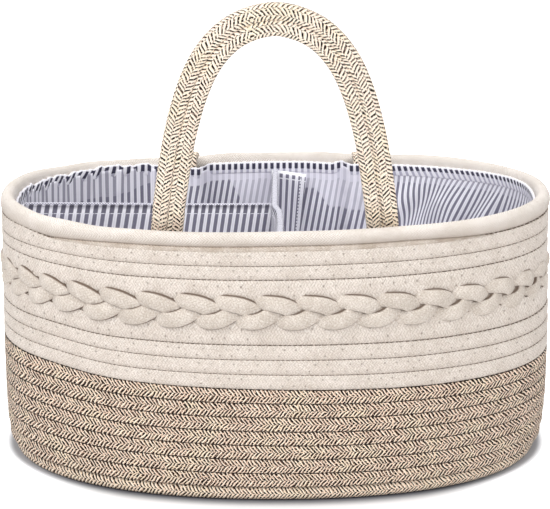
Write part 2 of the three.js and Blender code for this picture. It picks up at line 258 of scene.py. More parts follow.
# Liner's floor
FLOOR_TOP = 11.8 * MM
FLOOR_CLEARANCE = 0.3 * MM
FLOOR_DROP = 0.7 * MM
FLOOR_SHELL = 0.9 * MM
FLOOR_RIPPLE = 0.25 * MM
FLOOR_WAVES = mm(31, 23)
FLOOR_RINGS = 26
FLOOR_COLUMNS = 120
FLOOR_HEART_SHARE = 0.02

# Divider
DIVIDER_TOP = 169 * MM
PANEL_STEP = 3 * MM
PANEL_ROWS = 44
PANEL_SOFTNESS = mm(-1, 5)
PANEL_WAVE = 0.25 * MM
LOOSE_SHARE = 0.14
LONG_SLANT = 0.15
TAPE_BOW = 4 * MM
TAPE_WAVE = 0.2 * MM
TAPE_ENDS = mm(-0.6, 0.2)
TAPE_LIFTS = mm(0.4, 0.2)
TAPE_WIDTHS = mm(4.4, 3.7)
TAPE_THICKNESS = 1.8 * MM
PIPING_Y = 1 * MM
PIPING_LIFT = 0.4 * MM
PIPING_WAVE = 0.35 * MM
PIPING_WIDTH = 1.8 * MM
PIPING_THICKNESS = 1.6 * MM
BAND_SIDES = 10
BAND_STEPS = 60
PATCH_COLUMNS = 16
PATCH_ROWS = 40
PATCH_WAVE = 19 * MM
FLAP_PUFF = 0.4 * MM
FLAP_TAPER = 6 * MM
FLAP_SLOPE = 3.5 * MM
# Inset and thickness of each cloth or strip at the wall
FLAP_SHEET = mm(14, 1.2)
HOOK_SHEET = mm(12.45, 0.9)
LOOP_SHEET = mm(11.05, 1.1)

# Yarns of each rope: width of a chevron, pitch along the rope, slant, and looseness
CREAM_YARNS = (3.4 * MM, 2.1 * MM, 0.8, 1.2)
RIM_YARNS = (4.2 * MM, 2.0 * MM, 1.1, 1.0)
BRAID_YARNS = (3.6 * MM, 2.1 * MM, 0.8, 1.0)
TUCKED_YARNS = (3.4 * MM, 2.2 * MM, 0.9, 1.0)
BROWN_YARNS = (9.6 * MM, 2.55 * MM, 0.8, 1.3)
HANDLE_YARNS = (9.6 * MM, 2.75 * MM, 0.66, 1.3)
TAPE_YARNS = (2.4 * MM, 1.9 * MM, 1.0, 0.0)

# Needle marks and seams of the cream rope, and the painted shade on each course's lower side, most as the
# soft edge from full to none
NEEDLE_PITCH = 7.5 * MM
NEEDLE_ROW = 2.1 * MM
NEEDLE_SPREAD = 1.2 * MM
DOT_EDGE = mm(0.2, 0.85)
DIMPLE_EDGE = mm(0.2, 2.6)
THREAD_EDGE = mm(0.15, 0.55)
PULL_EDGE = mm(0.1, 1.6)
THREAD_SLOPE = 2.7 / 1.9
SHADED_LOW_SIDE = mm(-1, -4.6)
CREAM_SEAM = (3.3 * MM, 0.25, 4.35 * MM)
BROWN_SEAM = (3.6 * MM, 0.4, 4.1 * MM)
SEAM_EDGE = 0.4 * MM
RAGGED_EDGE = 5 * MM

# Ticking: half widths and soft edges of its stripes, the depths of its bands, stitches and marks, and where
# its painted shade patches start
STRIPE = 4.9 * MM
BROAD_HALF = 1.12 * MM
PANEL_BROAD_HALF = 1.26 * MM
BROAD_GROWTH = 0.15 * MM
STRIPE_EDGE = mm(-0.18, 0.18)
HAIR_EDGE = mm(0.08, 0.3)
BAND_EDGE = mm(-6, -5.4)
SHADE_PATCH_START = mm(-13, -22)
STITCH_DEPTH = 5.6 * MM
PANEL_STITCH = 3.1 * MM
PANEL_STITCH_EDGE = mm(0.15, 0.42)
FLAP_STITCH = 2.6 * MM
FLAP_ROWS = mm(22.6, 24.9)
FLAP_ROW_EDGE = mm(0.25, 0.5)
FLAP_STITCH_EDGE = mm(0.22, 0.5)
FLAP_FOLD_HIGHLIGHT = mm(-2.3, -1.7)
WEAVE_BUMP = 0.12 * MM
HEM_HALF_STRIPE = 1.05 * MM
HEM_MARK_GROWTH = 0.3 * MM
HEM_MARK_EDGE = mm(-0.2, 0.2)
HEM_CREST_HIGHLIGHT = mm(-1.3, -0.7)
# Stairs along x, each from one place to another and from one value to another
HEM_MARKS = (mm(-110, -80, -6.5, -5.6), mm(70, 120, 0, 1.5))
HEM_SLANTS = ((*mm(-150, -105), -0.55, 0.0), (*mm(60, 130), 0.0, 0.55))
TURNED_IN = (mm(-120, -90, 19, 9.5),)
LOOSE_CLOTH = (mm(-36, -20, 9.5, 32), mm(2, 6, 0, -15), mm(30, 44, 0, 14))
BACK_LEFT = mm(-100, -80)
BACK_RIGHT = mm(90, 70)
RAGGED_STRIPE = 1.5 * MM
TURNED_EDGE = mm(-0.25, 0.25)
LOOSE_EDGE = mm(-1, 1)

# Bumps of the materials
CREAM_BUMP = 0.6 * MM
ROPE_BUMP = 0.5 * MM
TAPE_BUMP = 0.25 * MM
STRIP_BUMP = 0.3 * MM
STRIP_ROWS = 5000.0

# Stage: the floor has a painted shadow close to the base, darkest at its front, and glows white far from it;
# close to the base's ends a painted glow lifts that shadow
FLOOR_SIZE = 12
FRONT_SHADE = mm(-60, -110)
PAINTED_SHADOW_EDGE = mm(-3, 11)
END_GLOW = mm(90, 185)
GLOW_EDGE = mm(-3, 4)
FAR_GLOW = mm(20, 100)
WORLD_LIGHT = 0.48
# Name, place, target, size and power of each lamp
LAMPS = (
    ("key", (-1.15, -0.85, 1.3), (0, 0, 0.1), 0.9, 13.4),
    ("fill", (0.85, -1.5, 1.15), (0, 0, 0.12), 1.0, 11.8),
    ("low", (0.2, -1.8, 0.12), (0, 0, 0.02), 0.8, 3),
    ("top", (0.0, -0.3, 1.9), (0, 0, 0.1), 1.2, 14.8),
    ("behind", (0.0, 1.3, 1.3), (0, 0, 0.1), 1.2, 7),
)
CAMERA_PLACE = (0, -1.212, 0.464)
CAMERA_DIP = 15.27
CAMERA_LENS = 117.03
CAMERA_SENSOR = 36


# Oval

def swell(value, power):
    """The value raised to a power, with its sign kept."""
    return np.sign(value) * np.abs(value) ** power


def tilt(angle):
    """Place along the basket, from -1 at its left end to 1 at its right end."""
    return swell(np.cos(angle), 2 / ROUNDNESS)


def oval(angle, inset=0.0):
    """x and y on the oval, moved in by inset."""
    return (HALF_LENGTH - inset) * tilt(angle), (HALF_WIDTH - inset) * swell(np.sin(angle), 2 / ROUNDNESS)


def turn_angle(turns):
    """Angle after a number of turns from the middle of the back over +X."""
    return TURN * (0.25 - turns)


def measure_oval():
    """Turns, the length of wall up to each, and that length as the flecks run."""
    turns = np.linspace(0, 1, OVAL_STEPS)
    x, y = oval(turn_angle(turns))
    steps = np.hypot(np.diff(x), np.diff(y))
    face = np.maximum(np.abs(np.diff(x)), LEAST_FACE_SHARE * steps)
    return turns, np.concatenate([[0], np.cumsum(steps)]), np.concatenate([[0], np.cumsum(face)])


TABLE_TURNS, TABLE_LENGTH, TABLE_FACE = measure_oval()
PERIMETER = TABLE_LENGTH[-1]


def turns_at(along):
    whole = np.floor(along / PERIMETER)
    return whole + np.interp(along - whole * PERIMETER, TABLE_LENGTH, TABLE_TURNS)


def angle_at(along):
    return turn_angle(turns_at(along))


def length_at(turns):
    whole = np.floor(turns)
    return whole * PERIMETER + np.interp(turns - whole, TABLE_TURNS, TABLE_LENGTH)


def face_length(along):
    """Distance along the wall as its flecks run: they are longer where the wall turns round the ends."""
    whole = np.floor(along / PERIMETER)
    return whole * TABLE_FACE[-1] + np.interp(along - whole * PERIMETER, TABLE_LENGTH, TABLE_FACE)


def smooth(value, low, high):
    share = np.clip((value - low) / (high - low), 0, 1)
    return share * share * (3 - 2 * share)


def band(value, start, end):
    """1 between two soft edges, and 0 beyond them."""
    return smooth(value, *start) * (1 - smooth(value, *end))


def bulge(angle, height):
    """How far the ends of the wall belly out, more at +X."""
    tuck = END_TUCK * (1 - smooth(height, 0, END_TUCK_HEIGHT)) * np.cos(angle) ** 6
    out = np.where(np.cos(angle) > 0, RIGHT_BULGE, LEFT_BULGE)
    return band(height, BULGE_START, BULGE_END) * out * np.cos(angle) ** 2 - tuck


def left_lift(angle, share):
    """How far the courses climb towards the left end."""
    return share * LEFT_LIFT * smooth(-np.cos(angle), *LEFT_LIFT_SHARES)


def waver(along, seed, counts=(2, 5, 9, 14), fall=0.75):
    """Small even waver round the oval, about -1 to 1, from a few whole waves."""
    shifts = np.random.default_rng(seed).uniform(0, TURN, len(counts))
    shares = [fall ** i for i in range(len(counts))]
    parts = [share * np.sin(TURN * n * along / PERIMETER + shift)
             for share, n, shift in zip(shares, counts, shifts)]
    return sum(parts) / sum(shares)


def waves(along, rows):
    """Sum of waves, each a length, a share and a shift."""
    return sum(share * np.sin(TURN * along / length + shift) for length, share, shift in rows)


# Meshes

def mesh_object(name, points, faces, uvs, material):
    """One piece from points, faces as rows of point numbers, and a UV for each face corner."""
    mesh = bpy.data.meshes.new(name)
    mesh.from_pydata([tuple(p) for p in points], [], [tuple(f) for f in faces])
    layer = mesh.uv_layers.new(name="UVMap")
    layer.data.foreach_set("uv", np.asarray(uvs, np.float32).ravel())
    mesh.materials.append(material)
    mesh.polygons.foreach_set("use_smooth", np.ones(len(mesh.polygons), bool))
    mesh.update()
    piece = bpy.data.objects.new(name, mesh)
    bpy.context.scene.collection.objects.link(piece)
    return piece


def grid_data(points, u, v, close_rows=False, close_ring=False, start=0):
    """Faces and UVs over a grid of points: u runs along the rows, v round each ring.

    A closed way takes one more value.
    """
    rows, ring = points.shape[:2]
    row_count = rows if close_rows else rows - 1
    i, j = np.meshgrid(np.arange(row_count), np.arange(ring if close_ring else ring - 1), indexing="ij")
    i, j = i.ravel(), j.ravel()
    far, next_j = (i + 1) % rows, (j + 1) % ring
    faces = np.stack([i * ring + j, i * ring + next_j, far * ring + next_j, far * ring + j], 1) + start
    u = np.broadcast_to(u if np.ndim(u) == 2 else np.asarray(u)[:, None], (len(u), ring + close_ring))
    v = np.broadcast_to(v, (rows + close_rows, np.shape(v)[-1]))
    corners = [(i, j), (i, j + 1), (i + 1, j + 1), (i + 1, j)]
    uvs = np.stack([np.stack([u[a, b], v[a, b]], 1) for a, b in corners], 1)
    return faces, uvs


def tube(name, rings, u, v, material, closed=False):
    """Skin over rings of points, capped where it's open."""
    count, ring = rings.shape[:2]
    faces, uvs = grid_data(rings, u, v, close_rows=closed, close_ring=True)
    faces = [list(f) for f in faces]
    uvs = list(uvs.reshape(-1, 2))
    if not closed:
        seam = np.broadcast_to(v, (count, ring + 1))[:, 0]
        for row, order in ((0, range(ring)), (count - 1, reversed(range(ring)))):
            faces.append([row * ring + j for j in order])
            uvs += [(u[row], seam[row])] * ring
    return mesh_object(name, rings.reshape(-1, 3), faces, uvs, material)


def section(sides, power_out, power_in=None):
    """Closed section as shares, from the middle of the inner face round: a from the outer face in, b up."""
    angle = math.pi + TURN * np.arange(sides) / sides
    power = 2 / np.where(np.cos(angle) < 0, power_out, power_in or power_out)
    return (swell(np.cos(angle), power) + 1) / 2, (swell(np.sin(angle), power) + 1) / 2


def circle(sides):
    angle = TURN * np.arange(sides) / sides
    return np.cos(angle), np.sin(angle)


def rings_at(angle, inset, z):
    """A ring of points on the oval for each angle."""
    x, y = oval(angle[:, None], inset)
    return np.stack([x, y, np.broadcast_to(z, x.shape)], 2)


def round_course(b):
    """Distance up or down from a course's middle, round its section."""
    return np.append(b - 0.5, b[0] - 0.5) * COURSE_GIRTH


def distances(points):
    """Distance along a line of points up to each."""
    return np.concatenate([[0], np.cumsum(np.linalg.norm(np.diff(points, axis=0), axis=1))])


def unit(rows):
    return rows / np.linalg.norm(rows, axis=1)[:, None]


def finish_piece(piece, body, slot, *nodes):
    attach(piece, body)
    if nodes:
        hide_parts(*nodes)


def solidify(piece, thickness, offset):
    shell = piece.modifiers.new("thickness", "SOLIDIFY")
    shell.thickness = thickness
    shell.offset = offset


# Materials

def linear(colour):
    """A colour that is written as 0 to 255 on screen."""
    shares = [part / 255 for part in colour]
    return tuple(c / 12.92 if c <= 10 / 255 else ((c + 0.055) / 1.055) ** 2.4 for c in shares)


def operation(kind, turned=False):
    """Method of Value that puts in a math node. Turned, the other value comes first."""
    def method(value, *others):
        return value.paint.math(kind, *((*others, value) if turned else (value, *others)))
    return method


class Value:
    """Output of a node, so that sums of node values are written as sums."""

    def __init__(self, paint, socket):
        self.paint = paint
        self.socket = socket

    __add__ = operation("ADD")
    __sub__ = operation("SUBTRACT")
    __rsub__ = operation("SUBTRACT", turned=True)
    __mul__ = operation("MULTIPLY")
    __truediv__ = operation("DIVIDE")
    __pow__ = operation("POWER")
    __abs__ = operation("ABSOLUTE")
    fract = operation("FRACT")
    floor = operation("FLOOR")
    sine = operation("SINE")
    root = operation("SQRT")
    most = operation("MAXIMUM")
    above = operation("GREATER_THAN")
    below = operation("LESS_THAN")


class Paint:
    """Short way to write the nodes of one material."""

    def __init__(self, name, roughness=0.9, sheen=0.0, specular=0.25):
        self.material = bpy.data.materials.new(name)
        self.material.use_nodes = True
        self.tree = self.material.node_tree
        self.shader = self.tree.nodes["Principled BSDF"]
        self.shader.inputs["Roughness"].default_value = roughness
        self.shader.inputs["Sheen Weight"].default_value = sheen
        self.shader.inputs["Sheen Roughness"].default_value = 0.5
        self.shader.inputs["Specular IOR Level"].default_value = specular
        self.base = (255, 255, 255)

    def put(self, socket, value):
        if isinstance(value, Value):
            self.tree.links.new(value.socket, socket)
        elif isinstance(value, tuple):
            socket.default_value = (*linear(value), 1)
        else:
            socket.default_value = value

    def node(self, kind, inputs=(), output=0, **settings):
        """Output of a new node, with values put in its inputs by name or number."""
        node = self.tree.nodes.new("ShaderNode" + kind)
        for name, setting in settings.items():
            setattr(node, name, setting)
        for key, value in dict(inputs).items():
            self.put(node.inputs[key], value)
        return Value(self, node.outputs[output])

    def math(self, kind, *values):
        return self.node("Math", enumerate(values), operation=kind)

    def mix(self, factor, a, b):
        return self.node("Mix", {0: factor, 6: a, 7: b}, output=2, data_type="RGBA")

    def tint(self, factor, colour):
        """Lays a colour over what is painted so far."""
        self.base = self.mix(factor, self.base, colour)

    def step(self, value, low, high, start=0.0, end=1.0):
        """Soft step from start to end, as the value goes from low to high."""
        inputs = enumerate((value, low, high, start, end))
        return self.node("MapRange", inputs, interpolation_type="SMOOTHSTEP")

    def fade(self, value, edge):
        return self.step(value, *edge, 1.0, 0.0)

    def stairs(self, value, rows):
        """Sum of soft steps, one for each row of a table."""
        total = self.step(value, *rows[0])
        for row in rows[1:]:
            total = total + self.step(value, *row)
        return total

    def vector(self, x, y, z=0.0):
        return self.node("CombineXYZ", enumerate((x, y, z)))

    def split(self, vector):
        node = self.tree.nodes.new("ShaderNodeSeparateXYZ")
        self.put(node.inputs[0], vector)
        return Value(self, node.outputs[0]), Value(self, node.outputs[1])

    def uv(self):
        return self.split(self.node("UVMap"))

    def place(self):
        return self.node("TexCoord", output="Object")

    def noise(self, vector, scale, detail=2.0, roughness=0.6):
        inputs = {"Vector": vector, "Scale": scale, "Detail": detail, "Roughness": roughness}
        return self.node("TexNoise", inputs)

    def chance(self, x, y, z=0.0):
        """A random number for each whole x, y and z."""
        return self.node("TexWhiteNoise", {"Vector": self.vector(x, y, z)}, noise_dimensions="3D")

    def bump(self, height, distance, strength=1.0):
        inputs = {"Height": height, "Distance": distance, "Strength": strength}
        self.put(self.shader.inputs["Normal"], self.node("Bump", inputs))

    def finish(self):
        self.put(self.shader.inputs["Base Color"], self.base)
        return self.material


def yarns(p, u, v, width, pitch, slope, jitter):
    """Chevrons of slanting yarns: the place across a yarn, 0 to 1, and two whole numbers that name it."""
    cell = v / width + 0.5
    side = cell.fract() - 0.5
    place = (u + abs(side) * (width * slope)) / pitch + side.below(0.0) * 0.5
    if jitter:
        loose = p.noise(p.vector(u, v), 1 / (3 * pitch), 1.0)
        place = place + (loose - 0.5) * jitter
    return place.fract(), (place.floor(), (cell * 2.0).floor())


def yarn_height(p, u, v, table):
    """Height across a yarn: 0 at its edges, 1 in its middle."""
    share, _ = yarns(p, u, v, *table)
    return (share * math.pi).sine()


def needle_marks(p, u, v):
    """Marks of the zigzag thread, in two staggered rows a course: its dots, dimples, line and pull."""
    beside = abs(v) - NEEDLE_ROW
    upper = v.above(0.0) * 0.5
    place = u / NEEDLE_PITCH + upper
    luck = p.chance(place.floor(), upper * 2.0, 3.0)
    from_dot = (place.fract() - 0.5) * NEEDLE_PITCH + (luck - 0.5) * NEEDLE_SPREAD
    away = (from_dot ** 2.0 + beside ** 2.0).root()
    dots = p.fade(away, DOT_EDGE) * p.step(luck, 0.2, 0.9)
    off_thread = abs(beside - abs(from_dot) * THREAD_SLOPE)
    return dots, p.fade(away, DIMPLE_EDGE), p.fade(off_thread, THREAD_EDGE), p.fade(off_thread, PULL_EDGE)


def seam_dashes(p, u, v, beat, least, start):
    """Thread and shade in the seam between two courses, as uneven dashes."""
    sway = p.noise(p.vector(u, 0.0), 180, 1.0)
    place = (u / beat + sway * 1.5).fract()
    return p.step(abs(v), start, start + SEAM_EDGE) * p.step(place, 0.5, 0.72, 1.0, least)


def cream_rope_material():
    """Smooth cotton cord of the wall, sewn to its neighbours with a zigzag thread."""
    p = Paint("cream_rope", roughness=0.95, sheen=0.1)
    u, v = p.uv()
    height = yarn_height(p, u, v, CREAM_YARNS)
    fuzz = p.noise(p.place(), 1100)
    blotch = p.noise(p.place(), 75, 3.0)
    p.base = p.mix(p.step(blotch, 0.3, 0.7), (224, 214, 205), (212, 201, 191))
    # painted shade: darker between the yarns, where the rope dips
    p.tint(p.step(height, 0.75, 0.0) * 0.5, (158, 141, 126))
    p.tint(p.step(fuzz, 0.5, 0.3, 0.0, 0.4), (176, 160, 146))
    p.tint(p.step(fuzz, 0.5, 0.7, 0.0, 0.4), (254, 249, 242))
    dots, dimple, thread, pull = needle_marks(p, u, v)
    p.tint(thread * 0.6, (252, 247, 240))
    # painted shade in the dent that the thread pulls into the rope
    p.tint(pull * 0.2, (160, 142, 126))
    p.tint(dots * 0.65, (112, 96, 82))
    # painted shade: each course darker on its lower side, which the light from above misses
    p.tint(p.step(v, *SHADED_LOW_SIDE, 0.0, 0.16), (150, 130, 112))
    p.tint(seam_dashes(p, u, v, *CREAM_SEAM), (96, 80, 66))
    p.bump(height * 0.3 + fuzz * 0.5 - dimple * 0.35 - pull * 0.5, CREAM_BUMP, 0.9)
    return p.finish()


def plain_cream_material(name, table, light, dark, groove_shade, sides=0.0, low=0.0):
    """Cream cord without needle marks, with painted shade between its yarns. Painted shade also darkens the
    braid's sides where sides is given, and the rim's underside where low is given.
    """
    p = Paint(name, roughness=0.95, sheen=0.1)
    u, v = p.uv()
    height = yarn_height(p, u, v, table)
    fuzz = p.noise(p.place(), 1100)
    blotch = p.noise(p.place(), 70, 3.0)
    p.base = p.mix(p.step(blotch, 0.3, 0.7), light, dark)
    # painted shade: darker between the yarns, where the cord dips
    p.tint(p.step(height, 0.7, 0.0) * groove_shade, (166, 148, 130))
    p.tint(p.step(fuzz, 0.5, 0.3, 0.0, 0.35), (178, 162, 146))
    p.tint(p.step(fuzz, 0.5, 0.7, 0.0, 0.35), (254, 250, 243))
    if sides:
        p.tint(braid_shade(p, u, v, sides), (84, 64, 48))
    if low:
        # painted shade on the rim's underside, away from the light from above
        from_top = ((v + (fuzz - 0.5) * RAGGED_EDGE) / RIM_GIRTH + 0.25).fract()
        under = p.step(from_top, 0.1, 0.4) * p.step(from_top, 0.75, 0.65)
        p.tint(under * low, (150, 131, 114))
    p.bump(height * 0.5 + fuzz * 0.6, ROPE_BUMP, 0.9)
    return p.finish()


def braid_shade(p, u, v, sides):
    """Shade along both sides of a strand, most where it goes under the others."""
    from_front = abs((v / BRAID_GIRTH).fract() - 0.25)
    over = (u * (2 * TURN / BRAID_LENGTH) + BRAID_LEAD).sine()
    shade = p.step(from_front, 0.15, 0.2, 0.0, sides) * p.step(over, -0.1, 0.7, 1.0, 0.3)
    return shade * p.step(from_front, 0.22, 0.28, 1.0, 0.4)


def brown_rope_material(name, table, reach, ground, seams):
    """Flecked cord: chevrons of tan and cream yarns with thin, broken, nearly black flecks, and a painted
    highlight beside each fleck.
    """
    p = Paint(name, roughness=0.9, sheen=0.05)
    u, v = p.uv()
    share, yarn = yarns(p, u, v, *table)
    luck = p.chance(*yarn, 1.0)
    other = p.chance(*yarn, 7.0)
    fuzz = p.noise(p.place(), 700, 2.0, 0.7)
    patch = p.noise(p.place(), 60)
    broken = p.noise(p.vector(u, v * 1.4), 640, 1.0)
    tan = p.mix(other, *ground)
    tan = p.mix(p.step(patch, 0.46, 0.66, 0.0, 0.5), tan, (234, 216, 182))
    tan = p.mix(p.step(fuzz, 0.48, 0.3, 0.0, 0.4), tan, (184, 152, 132))
    # painted highlight: a near-white streak beside each fleck
    shine = p.step(abs(share - 0.7), 0.08, 0.2, 1.0, 0.0) * p.step(broken, 0.36, 0.52, 0.2, 1.0)
    light = p.mix(shine, tan, (255, 245, 228))
    gap = abs(share - 0.34) - (luck * 0.08 + reach)
    dark = p.step(gap, -0.02, 0.02, 1.0, 0.0) * p.step(broken, 0.39, 0.46)
    p.base = p.mix(dark, light, p.mix(other, (18, 8, 4), (50, 30, 20)))
    if seams:
        p.tint(seam_dashes(p, u, v, *BROWN_SEAM), (28, 16, 11))
    height = (share * math.pi).sine()
    p.bump(height * 0.5 + fuzz * 0.4 - dark * 0.3, ROPE_BUMP, 0.8)
    return p.finish()


def striped(p, along, half):
    """Broad stripes by the distance from their middles, and that distance."""
    from_middle = abs((along / STRIPE).fract() - 0.5) * STRIPE
    return p.step(from_middle - half, *STRIPE_EDGE, 1.0, 0.0), from_middle


def ticking_material(name, kind="wall"):
    """Striped cotton: broad blue-grey stripes with a hair stripe between. v is 0 at the cloth's top edge."""
    p = Paint(name, roughness=0.85, sheen=0.1)
    u, v = p.uv()
    weave = p.noise(p.vector(u, v * 0.35), 1900)
    cloth = p.mix(weave * 0.3, (250, 249, 255), (222, 220, 236))
    p.bump(weave, WEAVE_BUMP, 0.6)
    if kind == "hem":
        paint_hem(p, u, v, cloth, weave)
        return p.finish()
    banded = p.step(v, *BAND_EDGE) if kind in ("panel", "flap") else 0.0
    half = PANEL_BROAD_HALF if kind == "panel" else BROAD_HALF
    broad, from_middle = striped(p, u, banded * BROAD_GROWTH + half)
    hair = p.fade(STRIPE / 2 - from_middle, HAIR_EDGE)
    ink = p.mix(weave, (78, 76, 96), (120, 118, 140))
    if kind == "panel":
        ink = p.mix(banded * 0.5, ink, (52, 50, 72))
    p.base = p.mix(hair * (0.2 - banded * 0.2), cloth, ink)
    p.tint(broad * 0.9, ink)
    if kind == "wall":
        paint_turned_in_top(p, u, v)
        # painted shade: patches of the cloth darker further down into the basket
        shade_patches = p.step(p.noise(p.place(), 28), 0.5, 0.6) * p.step(v, *SHADE_PATCH_START)
        p.tint(shade_patches * 0.12, (110, 104, 130))
    if kind == "panel":
        dash = p.step((u * (TURN / PANEL_STITCH)).sine(), -0.95, -0.6, 0.3, 1.0)
        row = p.step(abs(v + STITCH_DEPTH), *PANEL_STITCH_EDGE, 0.85, 0.0)
        p.tint(row * dash, (240, 240, 248))
    if kind == "flap":
        p.tint(flap_stitches_and_fold_highlight(p, u, v), (250, 250, 255))
    return p.finish()


def paint_turned_in_top(p, u, v):
    """The cloth is double, and so paler, down to a line, and lies loose and pale further down in places."""
    x, _ = p.split(p.place())
    middle = p.step(x, *BACK_LEFT) * p.step(x, *BACK_RIGHT)
    ragged = p.chance((u / STRIPE).floor(), 2.0) * RAGGED_STRIPE
    near = p.step(v + (p.stairs(x, TURNED_IN) + ragged), *TURNED_EDGE)
    far = p.step(v + (p.stairs(x, LOOSE_CLOTH) + ragged), *LOOSE_EDGE)
    double = (near * (middle * 0.5 + 0.26)).most(far * middle * 0.55)
    p.tint(double, (238, 236, 248))


def paint_hem(p, u, v, cloth, weave):
    """White crest, painted as a highlight where the fold's top catches the light, dark marks on the inner
    face under it, and the wall's stripes under them.
    """
    x, _ = p.split(p.place())
    marked = p.step(v - p.stairs(x, HEM_MARKS), *HEM_MARK_EDGE)
    along = u + v * p.stairs(x, HEM_SLANTS)
    broad, _ = striped(p, along, marked * HEM_MARK_GROWTH + HEM_HALF_STRIPE)
    ink = p.mix(marked, (190, 188, 205), p.mix(weave, (44, 42, 60), (80, 78, 100)))
    p.base = p.mix(broad, cloth, ink)
    # painted highlight along the top of the fold
    p.tint(p.step(v, *HEM_CREST_HIGHLIGHT) * 0.85, (250, 249, 255))


def flap_stitches_and_fold_highlight(p, u, v):
    """Stitches: one row under the top edge and two along the free edge, and a painted highlight along the
    folded top edge.
    """
    beat = p.step((v * (TURN / FLAP_STITCH)).sine(), -0.6, -0.2)
    rows = [p.fade(abs(u - place), FLAP_ROW_EDGE) for place in FLAP_ROWS]
    across = p.fade(abs(v + STITCH_DEPTH), FLAP_STITCH_EDGE)
    # the band at the very top is a painted highlight on the fold
    return across.most(p.step(v, *FLAP_FOLD_HIGHLIGHT)).most(rows[0].most(rows[1]) * beat)


def white_tape_material():
    """White herringbone tape and piping."""
    p = Paint("white_tape", roughness=0.85, sheen=0.15)
    height = yarn_height(p, *p.uv(), TAPE_YARNS)
    p.bump(height, TAPE_BUMP, 0.7)
    # painted shade: dark between the yarns, where the tape dips
    p.base = p.mix(p.step(height, 0.8, 0.3), (238, 237, 247), (96, 94, 116))
    return p.finish()


def strip_material(name, scale, rows):
    """Hook strip or loop strip: tiny hooks in rows, or a felt of loops."""
    p = Paint(name, roughness=0.8)
    u, v = p.uv()
    height = p.noise(p.vector(u, v), scale) + (v * STRIP_ROWS).sine() * rows
    p.bump(height, STRIP_BUMP)
    # painted shade: darker in the hollows of the strip
    p.base = p.mix(p.step(height, 0.2, 0.8), (200, 200, 206), (240, 240, 244))
    return p.finish()


CREAM = cream_rope_material()
# the rim rope gets painted shade on its underside
RIM = plain_cream_material("rim_rope", RIM_YARNS, (239, 232, 226), (226, 218, 210), 0.7, low=0.45)
BRAID = plain_cream_material("braid_rope", BRAID_YARNS, (217, 207, 197), (198, 187, 176), 0.45, sides=0.9)
# painted shade: the tucked end's darker tones stand for the shade under the rim
TUCKED = plain_cream_material("tucked_rope", TUCKED_YARNS, (228, 217, 206), (190, 174, 159), 0.9)
WALL_GROUND = ((230, 201, 178), (209, 178, 156))
# painted light: the base rope's ground is lighter than the wall rope's, standing in for light that the low
# courses lack
BASE_GROUND_PAINTED_LIGHTER = ((246, 221, 196), (228, 199, 174))
HANDLE_GROUND = ((250, 234, 214), (240, 217, 199))
BROWN = brown_rope_material("brown_wall_rope", BROWN_YARNS, 0.26, WALL_GROUND, True)
BASE = brown_rope_material("brown_base_rope", BROWN_YARNS, 0.2, BASE_GROUND_PAINTED_LIGHTER, True)
HANDLE = brown_rope_material("brown_handle_rope", HANDLE_YARNS, 0.185, HANDLE_GROUND, False)
TICKING = ticking_material("ticking_cloth")
PANEL = ticking_material("ticking_panel", "panel")
HEM = ticking_material("ticking_hem", "hem")
FLAP = ticking_material("ticking_flap", "flap")
TAPE = white_tape_material()
HOOKS = strip_material("hook_strip", 900, 0.5)
LOOPS = strip_material("loop_strip", 1800, 0.0)


# Wall

def climbed(turns):
    """Courses climbed after a number of turns: each climb takes a short way at the middle of the back."""
    nearest = np.round(turns)
    return nearest - 1 + smooth(turns - nearest, -CLIMB / 2, CLIMB / 2)


def edge_at(edge, along):
    return np.interp(np.mod(along, PERIMETER), *edge)


def coil(name, courses, low, high, seed, material, low_edge=None, high_edge=None, power=CREAM_SQUARENESS):
    """Rope wound up the wall between two levels, each a height, a tilt to +X and a share of the left lift.

    An edge is how far the coil's lowest or highest side is moved up at each place along the wall.
    """
    reach = CLIMB / 4
    along = np.arange(length_at(np.array(-reach)), length_at(np.array(courses + reach)), WALL_STEP)
    turns = turns_at(along)
    angle = turn_angle(turns)

    def height(climb):
        level = np.clip(climb, 0, courses)
        share = level / courses
        rise, slope, lifted = (start + (end - start) * share for start, end in zip(low, high))
        shift = SEAM_WAVER * np.sin(math.pi * share) * waver(along + SEAM_DRIFT * level, seed)
        if low_edge is not None:
            shift = shift + edge_at(low_edge, along) * np.clip(1 - level, 0, 1)
        if high_edge is not None:
            shift = shift + edge_at(high_edge, along) * np.clip(level - courses + 1, 0, 1)
        return rise + slope * tilt(angle) + left_lift(angle, lifted) + shift

    floor, top = height(climbed(turns)), height(climbed(turns) + 1)
    a, b = section(WALL_SIDES, power, WALL_BACK)
    out = FACE_WAVER * waver(along, seed + 1, (3, 7, 12, 19, 31)) + bulge(angle, (floor + top) / 2)
    z = floor[:, None] - COURSE_LAP + b * (top - floor + 2 * COURSE_LAP)[:, None]
    rings = rings_at(angle, WALL_INSET + a * ROPE_THICKNESS - out[:, None], z)
    return tube(name, rings, -face_length(along), round_course(b), material)


def rim_lift(along):
    """How far the rim's lower side stands over its level at the left end."""
    return RIM_END_LIFT * smooth(-np.cos(angle_at(along)), *RIM_END_SHARES)


